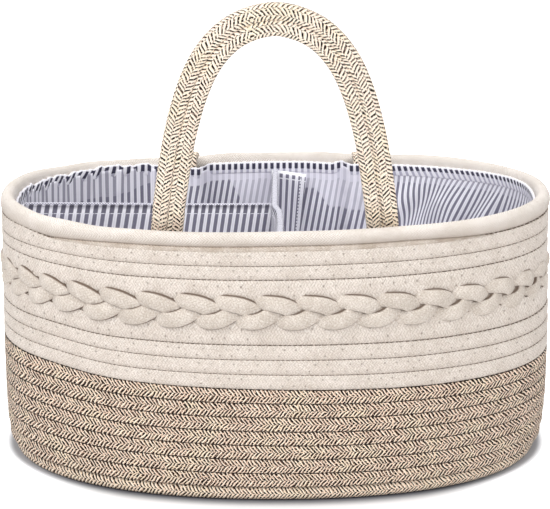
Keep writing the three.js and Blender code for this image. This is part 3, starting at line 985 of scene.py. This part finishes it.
def build_wall():
    under, over = braid_edges()
    along = np.arange(0, PERIMETER, WALL_STEP)
    under_rim = (along, UPPER_LIFT_SHARE * rim_lift(along) + UPPER_LIFT)
    foot, brown_top = (BASE_TOP, 0, 0), (BROWN_TOP, -BOUNDARY_DIP, 1)
    brown = coil("lower_wall_rope", BROWN_COURSES, foot, brown_top, 3, BROWN, power=BROWN_SQUARENESS)
    middle = coil("middle_wall_rope", MIDDLE_COURSES, brown_top, (BRAID_LOW, 0, 1), 5, CREAM, high_edge=under)
    upper = coil("upper_wall_rope", UPPER_COURSES, (BRAID_HIGH, 0, 0.6), (WALL_TOP, RIM_RISE, 0.2), 7, CREAM,
                 low_edge=over, high_edge=under_rim)
    finish_piece(brown, "basket", "brown_rope", "lower_wall_coil")
    finish_piece(middle, "basket", "cream_rope", "middle_wall_coil")
    finish_piece(upper, "basket", "cream_rope", "upper_wall_coil")


def build_base():
    """Rope wound flat: a full outer course, then a spiral in to the middle."""
    along = np.arange(0, PERIMETER * BASE_COURSES, BASE_STEP)
    angle = angle_at(along)
    outer = np.clip(climbed(turns_at(along)), 0, None)
    edge = WALL_INSET + BASE_EDGE * (1 - smooth(outer, 0, 1)) - bulge(angle, 0.0)
    inset = edge + np.minimum(outer * BASE_PITCH, HALF_WIDTH - BASE_HEART)
    a, b = section(*BASE_SECTION)
    inset = inset[:, None] + a * (BASE_PITCH + BASE_LAP[0])
    rings = rings_at(angle, inset, b * (BASE_TOP + BASE_LAP[1]))
    piece = tube("base_rope", rings, -face_length(along), round_course(b), BASE)
    finish_piece(piece, "basket", "brown_rope", "base_coil")


# Rim

def rim_foot(along, lap):
    """Height of the rim's or the tucked end's lower side, let a little into the wall."""
    angle = angle_at(along)
    level = WALL_TOP - lap + RIM_RISE * tilt(angle) + left_lift(angle, 0.2)
    return level + RIM_LOW_WAVER * waver(along, 7)


def tuck(along):
    """How far the rope's end, tucked under the rim at the front, lifts the rim."""
    away = np.abs(np.mod(along, PERIMETER) - PERIMETER / 2 - TUCKED_MIDDLE)
    return TUCKED_END * (1 - smooth(away, *TUCKED_REACH))


def build_rim():
    along = np.arange(0, PERIMETER, WALL_STEP)
    angle = angle_at(along)
    low = rim_foot(along, RIM_LAP) + tuck(along) + rim_lift(along)
    high = WALL_TOP + RIM_HEIGHT + RIM_RISE * tilt(angle) + RIM_HIGH_WAVER * waver(along, 21, (3, 6, 11))
    high = high + sum(RIM_SWELL * smooth(-np.cos(angle), *shares) for shares in RIM_SWELL_SHARES)
    leg = np.abs(np.abs(oval(angle)[0]) - LEG_SPREAD)
    high = high - RIM_PRESS * (np.sin(angle) > 0) * (1 - smooth(leg, *RIM_PRESS_REACH))
    a, b = section(RIM_SIDES, RIM_SQUARENESS)
    inset = a * RIM_THICKNESS - RIM_OUT_WAVER * waver(along, 22, (2, 5, 8, 17))[:, None]
    rings = rings_at(angle, inset, low[:, None] + b * (high - low)[:, None])
    girth = np.arange(RIM_SIDES + 1) / RIM_SIDES * RIM_GIRTH
    piece = tube("rim_rope", rings, np.append(-along, -PERIMETER), girth, RIM, closed=True)
    finish_piece(piece, "basket", "cream_rope", "rim_coil")


def build_tucked_end():
    """Flattened end of the wall rope under the front of the rim."""
    along = np.arange(PERIMETER / 2 + TUCKED_FROM, PERIMETER / 2 + TUCKED_TO, WALL_STEP)
    a, b = section(*TUCKED_SECTION)
    z = rim_foot(along, TUCKED_LAP)[:, None] + b * (tuck(along) + TUCKED_HEIGHT)[:, None]
    rings = rings_at(angle_at(along), WALL_INSET + TUCKED_INSET + a * TUCKED_THICKNESS, z)
    piece = tube("tucked_rope_end", rings, -along, round_course(b), TUCKED)
    finish_piece(piece, "basket", "cream_rope")


# Braid

def braid_lines():
    """Middle lines of the three strands, left to right at the front, as places along the wall and phases."""
    count = BRAID_PERIODS * BRAID_STEPS
    along = PERIMETER - np.arange(count) / count * PERIMETER
    angle = angle_at(along)
    middle = (BRAID_LOW + BRAID_HIGH) / 2
    swing = (BRAID_HIGH - BRAID_LOW - STRAND_WIDTH) / 2 + BRAID_SWING
    lines = []
    for strand in range(3):
        phase = TURN * (np.arange(count) / BRAID_STEPS + strand / 3 + BRAID_START)
        inset = BRAID_INSET + BRAID_WEAVE * np.sin(2 * phase + BRAID_LEAD) - BRAID_EDGE * np.sin(phase) ** 4
        x, y = oval(angle, inset + BRAID_END_INSET * np.cos(angle) ** 4)
        rise = np.sin(phase) + 0.08 * np.sin(3 * phase)
        z = middle + swing * rise + BRAID_WAVER * waver(along, 31 + strand) + left_lift(angle, 0.8)
        lines.append((phase, np.stack([x, y, z], 1)))
    return along, angle, lines


def braid_edges():
    """How far the courses under and over the braid reach to its lobes."""
    along, angle, lines = braid_lines()
    heights = np.stack([line[:, 2] for _, line in lines])
    order = np.argsort(np.mod(along, PERIMETER))
    place = np.mod(along, PERIMETER)[order]
    reach = 0.5 * STRAND_WIDTH * STRAND_REACH_SHARE
    under = heights.min(0) - reach - BRAID_LOW + BRAID_LAP - left_lift(angle, 1)
    over = heights.max(0) + reach - BRAID_HIGH - BRAID_LAP - left_lift(angle, 0.6)
    return (place, under[order]), (place, over[order])


def build_braid():
    """Three plump strands: each goes over from the edge of the braid to its middle, and under again."""
    along, angle, lines = braid_lines()
    level = np.zeros((len(angle), 1))
    face = np.hstack([np.stack(oval(angle), 1), level])
    outward = np.hstack([unit(np.stack(oval(angle), 1) - np.stack(oval(angle, OUTWARD_STEP), 1)), level])
    cos, sin = circle(BRAID_SIDES)
    girth = np.arange(BRAID_SIDES + 1) / BRAID_SIDES * BRAID_GIRTH
    for strand, (phase, line) in enumerate(lines):
        tangent = unit(np.roll(line, -1, 0) - np.roll(line, 1, 0))
        side = unit(np.cross(tangent, outward))
        out = np.cross(side, tangent)
        plump = 1 + 0.07 * np.cos(2 * phase + 0.6) + 0.04 * waver(along, 41 + strand)
        across = swell(cos, 0.9) * (STRAND_WIDTH / 2 * plump)[:, None]
        up = swell(sin, 0.8) * (STRAND_DEPTH / 2 * plump)[:, None]
        rings = line[:, None, :] + across[:, :, None] * side[:, None, :] + up[:, :, None] * out[:, None, :]
        inward = ((face[:, None, :] - rings) * outward[:, None, :]).sum(2)
        rings = rings + np.maximum(0, inward - BRAID_LIMIT)[:, :, None] * outward[:, None, :]
        travel = np.append(phase, phase[0] + TURN * BRAID_PERIODS) / TURN * BRAID_LENGTH
        piece = tube(f"braid_rope_{strand + 1}", rings, travel, girth, BRAID, closed=True)
        finish_piece(piece, "basket", "cream_rope", f"braid_strand_{strand + 1}")


# Handles

def arch_line():
    """Middle line of a handle's arch in its own plane, left leg to right leg, as x and height."""
    half = [(-a * LEG_SPREAD, b * ARCH_HEIGHT) for a, b in ARCH_SHARES]
    knots = np.array([*half, (0, ARCH_HEIGHT), *[(-x, h) for x, h in reversed(half)]])
    times = np.concatenate([[0], np.cumsum(np.linalg.norm(np.diff(knots, axis=0), axis=1) ** 0.5)])
    slopes = np.gradient(knots, times, axis=0)
    fine = np.linspace(0, times[-1], ARCH_SAMPLES)
    k = np.clip(np.searchsorted(times, fine, side="right") - 1, 0, len(times) - 2)
    h = (times[k + 1] - times[k])[:, None]
    t = (fine - times[k])[:, None] / h
    line = ((2 * t ** 3 - 3 * t ** 2 + 1) * knots[k] + (t ** 3 - 2 * t ** 2 + t) * h * slopes[k]
            + (3 * t ** 2 - 2 * t ** 3) * knots[k + 1] + (t ** 3 - t ** 2) * h * slopes[k + 1])
    length = distances(line)
    even = np.linspace(0, length[-1], ARCH_ROWS)
    return np.stack([np.interp(even, length, line[:, i]) for i in range(2)], 1)


def handle_rows(lean):
    """Middle line of a handle from its left tail to its right one: x, height over the axis, and angle."""
    arch = arch_line()
    tail = np.linspace(-TAIL_LENGTH, TAIL_END, TAIL_STEPS)
    bend = np.linspace(0, 1, BEND_STEPS)
    rise = smooth(bend, 0.5, 1.0) if lean > 90 else bend
    leg = LEG_SPREAD + (abs(arch[0, 0]) - LEG_SPREAD) * smooth(bend, 0, 1)
    left = np.concatenate([
        np.stack([np.full(TAIL_STEPS, -LEG_SPREAD), tail, np.zeros(TAIL_STEPS)], 1),
        np.stack([-leg, BEND_LENGTH * rise, lean * smooth(bend, 0, 0.8)], 1)[:-1],
    ])
    middle = np.concatenate([arch, np.full((len(arch), 1), lean)], 1)
    return np.concatenate([left, middle, left[::-1] * [-1, 1, 1]])


def handle_sides(rows):
    """Direction across the handle at each row, in the handle's own plane."""
    tangent = np.gradient(rows[:, :2], axis=0)
    still = np.linalg.norm(tangent, axis=1) < STILL_STEP
    tangent = np.where(still[:, None], np.where(rows[:, :1] < 0, [[0.0, 1.0]], [[0.0, -1.0]]), tangent)
    for _ in range(2):
        padded = np.pad(unit(tangent), ((2, 2), (0, 0)), mode="edge")
        tangent = sum(padded[k:k + len(rows)] for k in range(5))
    tangent = unit(tangent)
    return np.stack([-tangent[:, 1], tangent[:, 0]], 1)


def handle_rings(lean, side_sign):
    """Rings of one rope from its sewn-in left end over the arch to its right end, about the handle's axis."""
    rows = handle_rows(lean)
    side = handle_sides(rows)
    x, h, turn = rows.T[:, :, None]
    thick = ROPE_THICK + (TAIL_TIP - ROPE_THICK) * np.clip(-h / TAIL_LENGTH, 0, 1)
    stand = np.full(h.shape, STAND_OFF)
    cos, sin = circle(ROPE_SIDES)
    offset = side_sign * ROPE_OFFSET + swell(cos, ROPE_SQUARENESS) * ROPE_HALF_WIDTH
    x = x + side[:, :1] * offset
    if lean > 90:
        over_rim = np.exp(-((turn - PRESS_ANGLE) / PRESS_SPREAD) ** 2) * (h < BEND_LENGTH * 1.05)
        thick = thick - PRESSED_ROPE * over_rim
        stand = stand - PRESSED_RIM * over_rim
        x = x - BACK_SHIFT * smooth(h, 0, BEND_LENGTH)
    h = h + side[:, 1:] * offset
    y = stand + (swell(sin, ROPE_SQUARENESS) + 1) / 2 * thick
    turn = np.radians(turn)
    return np.stack([x, y * np.cos(turn) - h * np.sin(turn), y * np.sin(turn) + h * np.cos(turn)], 2)


def build_handle(name, turned_back, lean, start, end):
    for rope, (side_sign, rolls, ends) in HANDLE_ROPES.items():
        rings = handle_rings(lean, side_sign)
        if turned_back:
            rings = rings * [-1, -1, 1]
        rings = rings + np.array([0, AXIS_Y if turned_back else -AXIS_Y, AXIS_Z])
        travel = distances(rings.mean(1))
        middle_ring = rings[len(rings) // 2]
        girth = distances(np.vstack([middle_ring, middle_ring[:1]]))
        roll = np.interp(travel / travel[-1], [0.25, 0.75], rolls)
        v = (girth - girth[ROPE_SIDES // 4]) + roll[:, None]
        u = -np.abs(travel - travel[-1] / 2 + FLECK_START)
        piece = tube(f"{name}_{rope}_dressed", rings, u, v, HANDLE)
        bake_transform(piece)
        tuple(start)
        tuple(end)
        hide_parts(*[f"{name}_{part}" for part in (rope, *ends)])


def build_handles():
    front = [(0, -AXIS_Y, AXIS_Z + reach) for reach in FRONT_BLEND]
    build_handle("front_handle", False, FRONT_LEAN, *front)
    back = [(0, AXIS_Y + reach, AXIS_Z) for reach in BACK_BLEND]
    build_handle("back_handle", True, BACK_HANG, *back)


# Liner

def liner_folds(turns, down):
    """How far the cloth stands in from the wall, and how far its stripes lean, by place and depth."""
    part = np.mod(turns, 1)
    right_back = band(part, (0.03, 0.09), (0.2, 0.27))
    left_back = band(part, (0.74, 0.8), (0.9, 0.97))
    front = 1 - right_back - left_back
    along = part * PERIMETER
    drape = smooth(down, 0, DRAPE)
    slant = along + 0.85 * down
    ridges = RIDGE_STAND * (1 + waves(slant, RIDGE_WAVES) / 1.6)
    stand = right_back * ridges * drape * (1 - 0.5 * smooth(down, *RIDGE_END))
    gather = GATHER_STAND * (1 + waves(along, GATHER_WAVES) / 1.7)
    stand = stand + left_back * gather * np.exp(-down / GATHER_DEPTH)
    soft = SOFT_STAND * (1 + (waves(along, SOFT_WAVES) + waves(along + 0.3 * down, SLANTED_WAVES)) / 1.7)
    stand = stand + front * soft * smooth(down, 0, SOFT_DEPTH)
    leaning = right_back * smooth(part, 0.08, 0.13) * (1 - 0.6 * smooth(part, 0.14, 0.24))
    lean = leaning * 0.6 * np.minimum(down, LEAN_DEPTH)
    middle_back = smooth(part, 0.92, 0.95) + 1 - smooth(part, 0.05, 0.08)
    lean = lean + middle_back * 0.18 * np.maximum(down - LEAN_START, 0)
    lean = lean + right_back * RIDGE_LEAN * waves(slant, RIDGE_LEAN_WAVES) * drape
    sway = GATHER_LEAN * waves(along, GATHER_LEAN_WAVES) * np.exp(-down / GATHER_LEAN_DEPTH)
    return stand, lean + left_back * sway


def liner_points(angle, inset, z, behind_leg=0.0):
    """Points of the cloth on the oval, moved in where a sewn-in handle end lies behind it."""
    points = rings_at(angle, inset, z)
    x, y = points[:, :, 0], points[:, :, 1]
    limit = LEG_INNER_Y - (inset - behind_leg - LINER_INSET)
    window = 1 - smooth(np.abs(np.abs(x) - LEG_SPREAD) - LEG_ROOM, 0, LEG_FADE)
    points[:, :, 1] = y - np.sign(y) * np.maximum(0, np.abs(y) - limit) * window
    return points


def lift(x, y):
    """How far the liner's top stands over its usual level."""
    places, heights = np.array(LIFTS).T * MM
    return np.interp(x, places, heights) * smooth(y, *LIFT_START)


def stretch(turns):
    """How far stripes are moved along: they stand wider apart at the back's left, and closer in front."""
    part = np.mod(turns, 1)
    left = band(part, (0.74, 0.78), (0.9, 0.95))
    front = band(part, (0.3, 0.35), (0.65, 0.7))
    step = PERIMETER / len(turns)
    return STRETCH_SHARE * step * (np.cumsum(front) * left.sum() / front.sum() - np.cumsum(left))


def whole_stripes(u):
    """Distance along the wall, drawn out a little so that the stripes meet after a whole turn."""
    return u * (round(PERIMETER / STRIPE) * STRIPE / PERIMETER)


def build_liner_wall():
    along = np.arange(LINER_COLUMNS) / LINER_COLUMNS * PERIMETER
    turns = turns_at(along)
    angle = turn_angle(turns)
    top = WALL_TOP + LINER_RISE + RIM_RISE * tilt(angle) + lift(*oval(angle))
    down = np.concatenate([np.linspace(*FINE_ROWS), np.linspace(*COARSE_ROWS)])
    stand, lean = liner_folds(turns[:, None], down)
    lean = lean + stretch(turns)[:, None]
    inset = LINER_INSET + stand * (1 - smooth(down, *LINER_FADE))
    z = np.maximum(top[:, None] - down, FLOOR_TOP + FLOOR_CLEARANCE)
    points = liner_points(angle, inset, z)
    u = np.append(along, PERIMETER)[:, None] + np.vstack([lean, lean[:1]])
    faces, uvs = grid_data(points, whole_stripes(u), -down, close_rows=True)
    piece = mesh_object("liner_cloth", points.reshape(-1, 3), faces, uvs, TICKING)
    solidify(piece, LINER_SHELL, 1)
    finish_piece(piece, "basket", "ticking_cloth", "liner_wall")


def build_hem():
    """Turned-over top of the liner: a soft roll, ruffled at the left of the back."""
    along = np.arange(HEM_COLUMNS) / HEM_COLUMNS * PERIMETER
    turns = turns_at(along)
    angle = turn_angle(turns)
    ruffle = band(np.mod(turns, 1), (0.72, 0.78), (0.9, 0.96))
    level = WALL_TOP + RIM_RISE * tilt(angle) + HEM_WAVER * waver(along, 51) + lift(*oval(angle))
    scallop = HEM_SCALLOP * np.cos(TURN * along / PERIMETER * round(PERIMETER / STRIPE))
    low = (level - HEM_DROP)[:, None]
    high = (level + HEM_RISE + ruffle * HEM_RUFFLE * waves(along, RUFFLE_WAVES) + scallop)[:, None]
    cos, sin = circle(HEM_SIDES)
    b = swell(sin, 0.55)
    thick = HEM_HALF * (0.62 + 0.38 * b) * swell(cos, 0.8)
    sway = ruffle * HEM_SWAY * waves(along, SWAY_WAVES)
    inset = HEM_INSET + sway[:, None] * (0.6 + 0.4 * b) + thick
    z = (low + high) / 2 + b * (high - low) / 2
    rings = liner_points(angle, inset, z, HEM_BEHIND_LEG)
    v = np.pad(z - high, ((0, 1), (0, 1)), mode="wrap")
    u = np.broadcast_to(np.append(along + stretch(turns), PERIMETER)[:, None], v.shape)
    piece = tube("liner_hem_fold", rings, whole_stripes(u), v, HEM, closed=True)
    finish_piece(piece, "basket", "white_tape", "liner_hem")


def build_liner_floor():
    share = np.linspace(1, FLOOR_HEART_SHARE, FLOOR_RINGS)
    angle = TURN * np.arange(FLOOR_COLUMNS) / FLOOR_COLUMNS
    x, y = (edge[:, None] * share for edge in oval(angle, LINER_INSET))
    ripple = FLOOR_RIPPLE * np.sin(x / FLOOR_WAVES[0] + 1.1 * np.sin(y / FLOOR_WAVES[1]))
    points = np.stack([x, y, FLOOR_TOP - FLOOR_DROP + ripple * smooth(share, 0, 0.4)], 2)
    faces, _ = grid_data(points, np.zeros(FLOOR_COLUMNS + 1), np.zeros(FLOOR_RINGS), close_rows=True)
    heart = [i * FLOOR_RINGS + FLOOR_RINGS - 1 for i in range(FLOOR_COLUMNS)]
    faces = [*map(list, faces), heart]
    flat = points.reshape(-1, 3)
    uvs = np.concatenate([flat[f][:, :2] for f in faces])
    piece = mesh_object("liner_floor_cloth", flat, faces, uvs, TICKING)
    solidify(piece, FLOOR_SHELL, 0)
    finish_piece(piece, "basket", "ticking_cloth", "liner_floor")


# Divider

def padded_panel(name, low, high, axis, loose=0.0, slant=0.0, bow=None):
    """Padded board: a soft box along x or y, its edges rounded. Its top can bow to +X.

    Loose stripes stand wider apart at its first half, and a slant leans them.
    """
    length, tall = high[axis] - low[axis], high[2] - low[2]
    columns, rows = int(length / PANEL_STEP), PANEL_ROWS
    s = np.linspace(0, 1, columns)[:, None]
    t = np.linspace(0, 1, rows)
    wider = np.cumsum((1 - smooth(s, 0.45, 0.65))[::-1])[::-1, None] / columns
    u = length * (s - 1 + loose * wider) + slant * (1 - t) * tall
    soft = smooth(np.minimum(s, 1 - s) * length, *PANEL_SOFTNESS)
    soft = soft * smooth(np.minimum(t, 1 - t) * tall, *PANEL_SOFTNESS)
    wave = PANEL_WAVE * np.sin(s * 17 + t * 5) * np.sin(t * 9 + 1)
    thick = (high[1 - axis] - low[1 - axis]) / 2 * (0.45 + 0.55 * soft)
    middle = (low[1 - axis] + high[1 - axis]) / 2
    if bow is not None:
        middle = middle + bow(s[:, 0])[:, :1] * t ** 2
    along, up = np.broadcast_arrays(low[axis] + s * length, low[2] + t * tall)
    faces, uvs, sheets = [], [], []
    for k, sign in enumerate((-1, 1)):
        across = middle + sign * thick + wave * soft * 0.6
        sheets.append(np.stack([along, across, up] if axis == 0 else [across, along, up], 2))
        f, w = grid_data(sheets[k], u, (t - 1) * tall, start=k * columns * rows)
        if (k == 0) == (axis == 0):
            f, w = f[:, ::-1], w[:, ::-1]
        faces += f.tolist()
        uvs += list(w.reshape(-1, 2))
    edge_faces, edge_uvs = panel_edge(columns, rows, u, (t - 1) * tall, axis == 1)
    flat = np.concatenate([sheet.reshape(-1, 3) for sheet in sheets])
    return mesh_object(name, flat, faces + edge_faces, uvs + edge_uvs, PANEL)


def panel_edge(columns, rows, u, v, turned):
    """Faces and UVs of the narrow edge that joins a panel's two sheets."""
    ring = ([(i, 0) for i in range(columns)] + [(columns - 1, j) for j in range(1, rows)]
            + [(i, rows - 1) for i in range(columns - 2, -1, -1)] + [(0, j) for j in range(rows - 2, 0, -1)])
    faces, uvs = [], []
    for here, after in zip(ring, ring[1:] + ring[:1]):
        first, second = (i * rows + j for i, j in (here, after))
        quad = [first, second, second + columns * rows, first + columns * rows]
        corner = [(u[i, j], v[j]) for i, j in (here, after, after, here)]
        faces.append(quad[::-1] if turned else quad)
        uvs += corner[::-1] if turned else corner
    return faces, uvs


def soft_band(name, start, end, width, thickness, across, bow, power=3.0):
    """Tape or cord from one point to another, with a rounded section."""
    t = np.linspace(0, 1, BAND_STEPS)
    line = np.array(start) + (np.array(end) - np.array(start)) * t[:, None] + bow(t)
    tangent = unit(np.gradient(line, axis=0))
    up = unit(np.cross(tangent, np.array(across)))
    wide = np.cross(up, tangent)
    cos, sin = circle(BAND_SIDES)
    half = np.broadcast_to(width, BAND_STEPS)[:, None, None] / 2
    rings = (line[:, None, :] + swell(cos, 2 / power)[:, None] * wide[:, None, :] * half
             + swell(sin, 2 / power)[:, None] * up[:, None, :] * thickness / 2)
    girth = np.arange(BAND_SIDES + 1) / BAND_SIDES * 2 * (np.mean(width) + thickness)
    return tube(name, rings, distances(line), girth, TAPE)


def tape_bow(t):
    """The tape runs straight from the back to the long panel, and bows to the right in front of it."""
    bow = TAPE_BOW * smooth(t, 0.51, 0.4) * np.sin(math.pi * np.clip(t / 0.5, 0, 1)) ** 0.35
    return np.stack([bow, 0 * t, TAPE_WAVE * np.sin(9 * t)], 1)


def piping_bow(t):
    return np.stack([0 * t, 0 * t, PIPING_WAVE * np.sin(5 * t + 1)], 1)


def build_divider():
    low_x, high_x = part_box("cross_panel_cover")
    cross = padded_panel("cross_panel_pad", low_x, high_x, 1, bow=tape_bow)
    finish_piece(cross, "divider", "ticking_cloth", "cross_panel_cover", "cross_panel_board")
    low_l, high_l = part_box("long_panel_cover")
    long = padded_panel("long_panel_pad", low_l, high_l, 0, LOOSE_SHARE, LONG_SLANT)
    finish_piece(long, "divider", "ticking_cloth", "long_panel_cover", "long_panel_board")
    start, end = ((x, side[1], DIVIDER_TOP + up)
                  for x, side, up in zip(TAPE_ENDS, (low_x, high_x), TAPE_LIFTS))
    widths = np.linspace(*TAPE_WIDTHS, BAND_STEPS)
    tape = soft_band("cross_panel_binding", start, end, widths, TAPE_THICKNESS, (1, 0, 0), tape_bow)
    finish_piece(tape, "divider", "white_tape", "cross_panel_tape")
    start, end = ((side[0], PIPING_Y, DIVIDER_TOP + PIPING_LIFT) for side in (low_l, high_l))
    piping = soft_band("long_panel_edging", start, end, PIPING_WIDTH, PIPING_THICKNESS, (0, 1, 0), piping_bow,
                       power=2.2)
    finish_piece(piping, "divider", "white_tape", "long_panel_piping")


def wall_patch(name, node, inset, thickness, material, puff=0.0, taper=0.0, slope=0.0):
    """Cloth along the wall, where the node lies. It can taper to its far side, and slope down there."""
    low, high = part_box(node)
    middle = (low + high) / 2
    facing = 1 if abs(middle.y) > abs(middle.x) else 0
    halves = (HALF_LENGTH - inset, HALF_WIDTH - inset)
    side = 1 if middle[facing] > 0 else -1
    run = np.linspace(low[1 - facing], high[1 - facing], PATCH_COLUMNS)[:, None]
    rest = 1 - (np.abs(run) / halves[1 - facing]) ** ROUNDNESS
    z = np.linspace(low.z, high.z, PATCH_ROWS)
    share = np.linspace(0, 1, PATCH_COLUMNS)[:, None]
    ripple = puff * np.sin(share * 5 + z / PATCH_WAVE) * smooth(share, 0, 0.3)
    across = side * halves[facing] * rest ** (1 / ROUNDNESS) - side * ripple
    run = run - share * np.minimum(taper * (high.z - z), FLAP_TAPER)
    height = z - slope * share * np.linspace(0, 1, PATCH_ROWS)
    points = np.stack([run, across, height] if facing == 1 else [across, run, height], 2)
    faces, uvs = grid_data(points, share[:, 0] * np.hypot(high.x - low.x, high.y - low.y), z - high.z)
    piece = mesh_object(name, points.reshape(-1, 3), faces, uvs, material)
    solidify(piece, thickness, 0)
    return piece


def build_flaps():
    for end in ("back", "left", "front"):
        taper, slope = (0.1, FLAP_SLOPE) if end == "back" else (0.0, 0.0)
        flap = wall_patch(f"{end}_flap_cloth", f"{end}_flap", *FLAP_SHEET, FLAP, FLAP_PUFF, taper, slope)
        finish_piece(flap, "divider", "ticking_cloth", f"{end}_flap")
        hooks = wall_patch(f"{end}_hooks", f"{end}_hook_strip", *HOOK_SHEET, HOOKS)
        finish_piece(hooks, "divider", "white_tape", f"{end}_hook_strip")
        loops = wall_patch(f"{end}_loops", f"{end}_loop_strip", *LOOP_SHEET, LOOPS)
        finish_piece(loops, "basket", "white_tape", f"{end}_loop_strip")


# Stage

def floor_material():
    """White floor with a painted shadow close to the base, darkest at its front, that also keeps the object's
    own soft shadow; close to the base's ends a painted glow lifts the shadow.
    """
    p = Paint("floor", specular=0.1)
    x, y = p.split(p.place())
    share = ((abs(x) / HALF_LENGTH) ** ROUNDNESS + (abs(y) / HALF_WIDTH) ** ROUNDNESS) ** (1 / ROUNDNESS)
    out = (x ** 2.0 + y ** 2.0).root()
    gap = out - out / share
    # painted shadow on the floor round the base, darkest in front
    near = p.mix(p.step(y, *FRONT_SHADE), (190, 190, 194), (112, 112, 117))
    p.base = p.mix(p.step(gap, *PAINTED_SHADOW_EDGE), near, (246, 246, 247))
    # painted light: a glow seen only by the camera close to the base's ends lifts the shadow there; the glow
    # far off whitens the floor
    glow = p.step(gap, *GLOW_EDGE) * p.step(abs(x), *END_GLOW, 0.0, 0.8) + p.step(gap, *FAR_GLOW, 0.0, 0.6)
    camera_ray = p.node("LightPath", output="Is Camera Ray")
    p.shader.inputs["Emission Color"].default_value = (1, 1, 1, 1)
    p.put(p.shader.inputs["Emission Strength"], camera_ray * glow)
    return p.finish()


def build_world():
    """White light, weaker on the object than where the camera sees it."""
    world = bpy.data.worlds.new("white")
    bpy.context.scene.world = world
    world.use_nodes = True
    tree = world.node_tree
    background = tree.nodes["Background"]
    light_path = tree.nodes.new("ShaderNodeLightPath")
    strength = tree.nodes.new("ShaderNodeMapRange")
    tree.links.new(light_path.outputs["Is Camera Ray"], strength.inputs[0])
    strength.inputs[3].default_value = WORLD_LIGHT
    tree.links.new(strength.outputs[0], background.inputs["Strength"])
    background.inputs["Color"].default_value = (1, 1, 1, 1)


def add_lamp(name, place, target, size, power):
    lamp = bpy.data.objects.new(name, bpy.data.lights.new(name, "AREA"))
    lamp.data.size = size
    lamp.data.energy = power
    lamp.location = place
    offset = np.array(target) - np.array(place)
    flat = math.hypot(offset[0], offset[1])
    lamp.rotation_euler = (math.pi / 2 - math.atan2(-offset[2], flat), 0, math.atan2(-offset[0], offset[1]))
    lamp.visible_camera = False
    bpy.context.scene.collection.objects.link(lamp)


def build_stage():
    """Floor, soft lamps, and the photograph's camera."""
    bpy.ops.mesh.primitive_plane_add(size=FLOOR_SIZE, location=(0, 0, 0))
    floor = bpy.context.object
    floor.name = "floor"
    floor.data.materials.append(floor_material())
    build_world()
    for lamp in LAMPS:
        add_lamp(*lamp)
    camera = bpy.data.objects.new("camera", bpy.data.cameras.new("camera"))
    camera.data.lens = CAMERA_LENS
    camera.data.sensor_width = CAMERA_SENSOR
    camera.location = CAMERA_PLACE
    camera.rotation_euler = (math.radians(90 - CAMERA_DIP), 0, 0)
    bpy.context.scene.collection.objects.link(camera)
    bpy.context.scene.camera = camera
    bpy.context.scene.view_settings.view_transform = "Standard"


build_wall()
build_base()
build_rim()
build_tucked_end()
build_braid()
build_handles()
build_liner_wall()
build_hem()
build_liner_floor()
build_divider()
build_flaps()
build_stage()
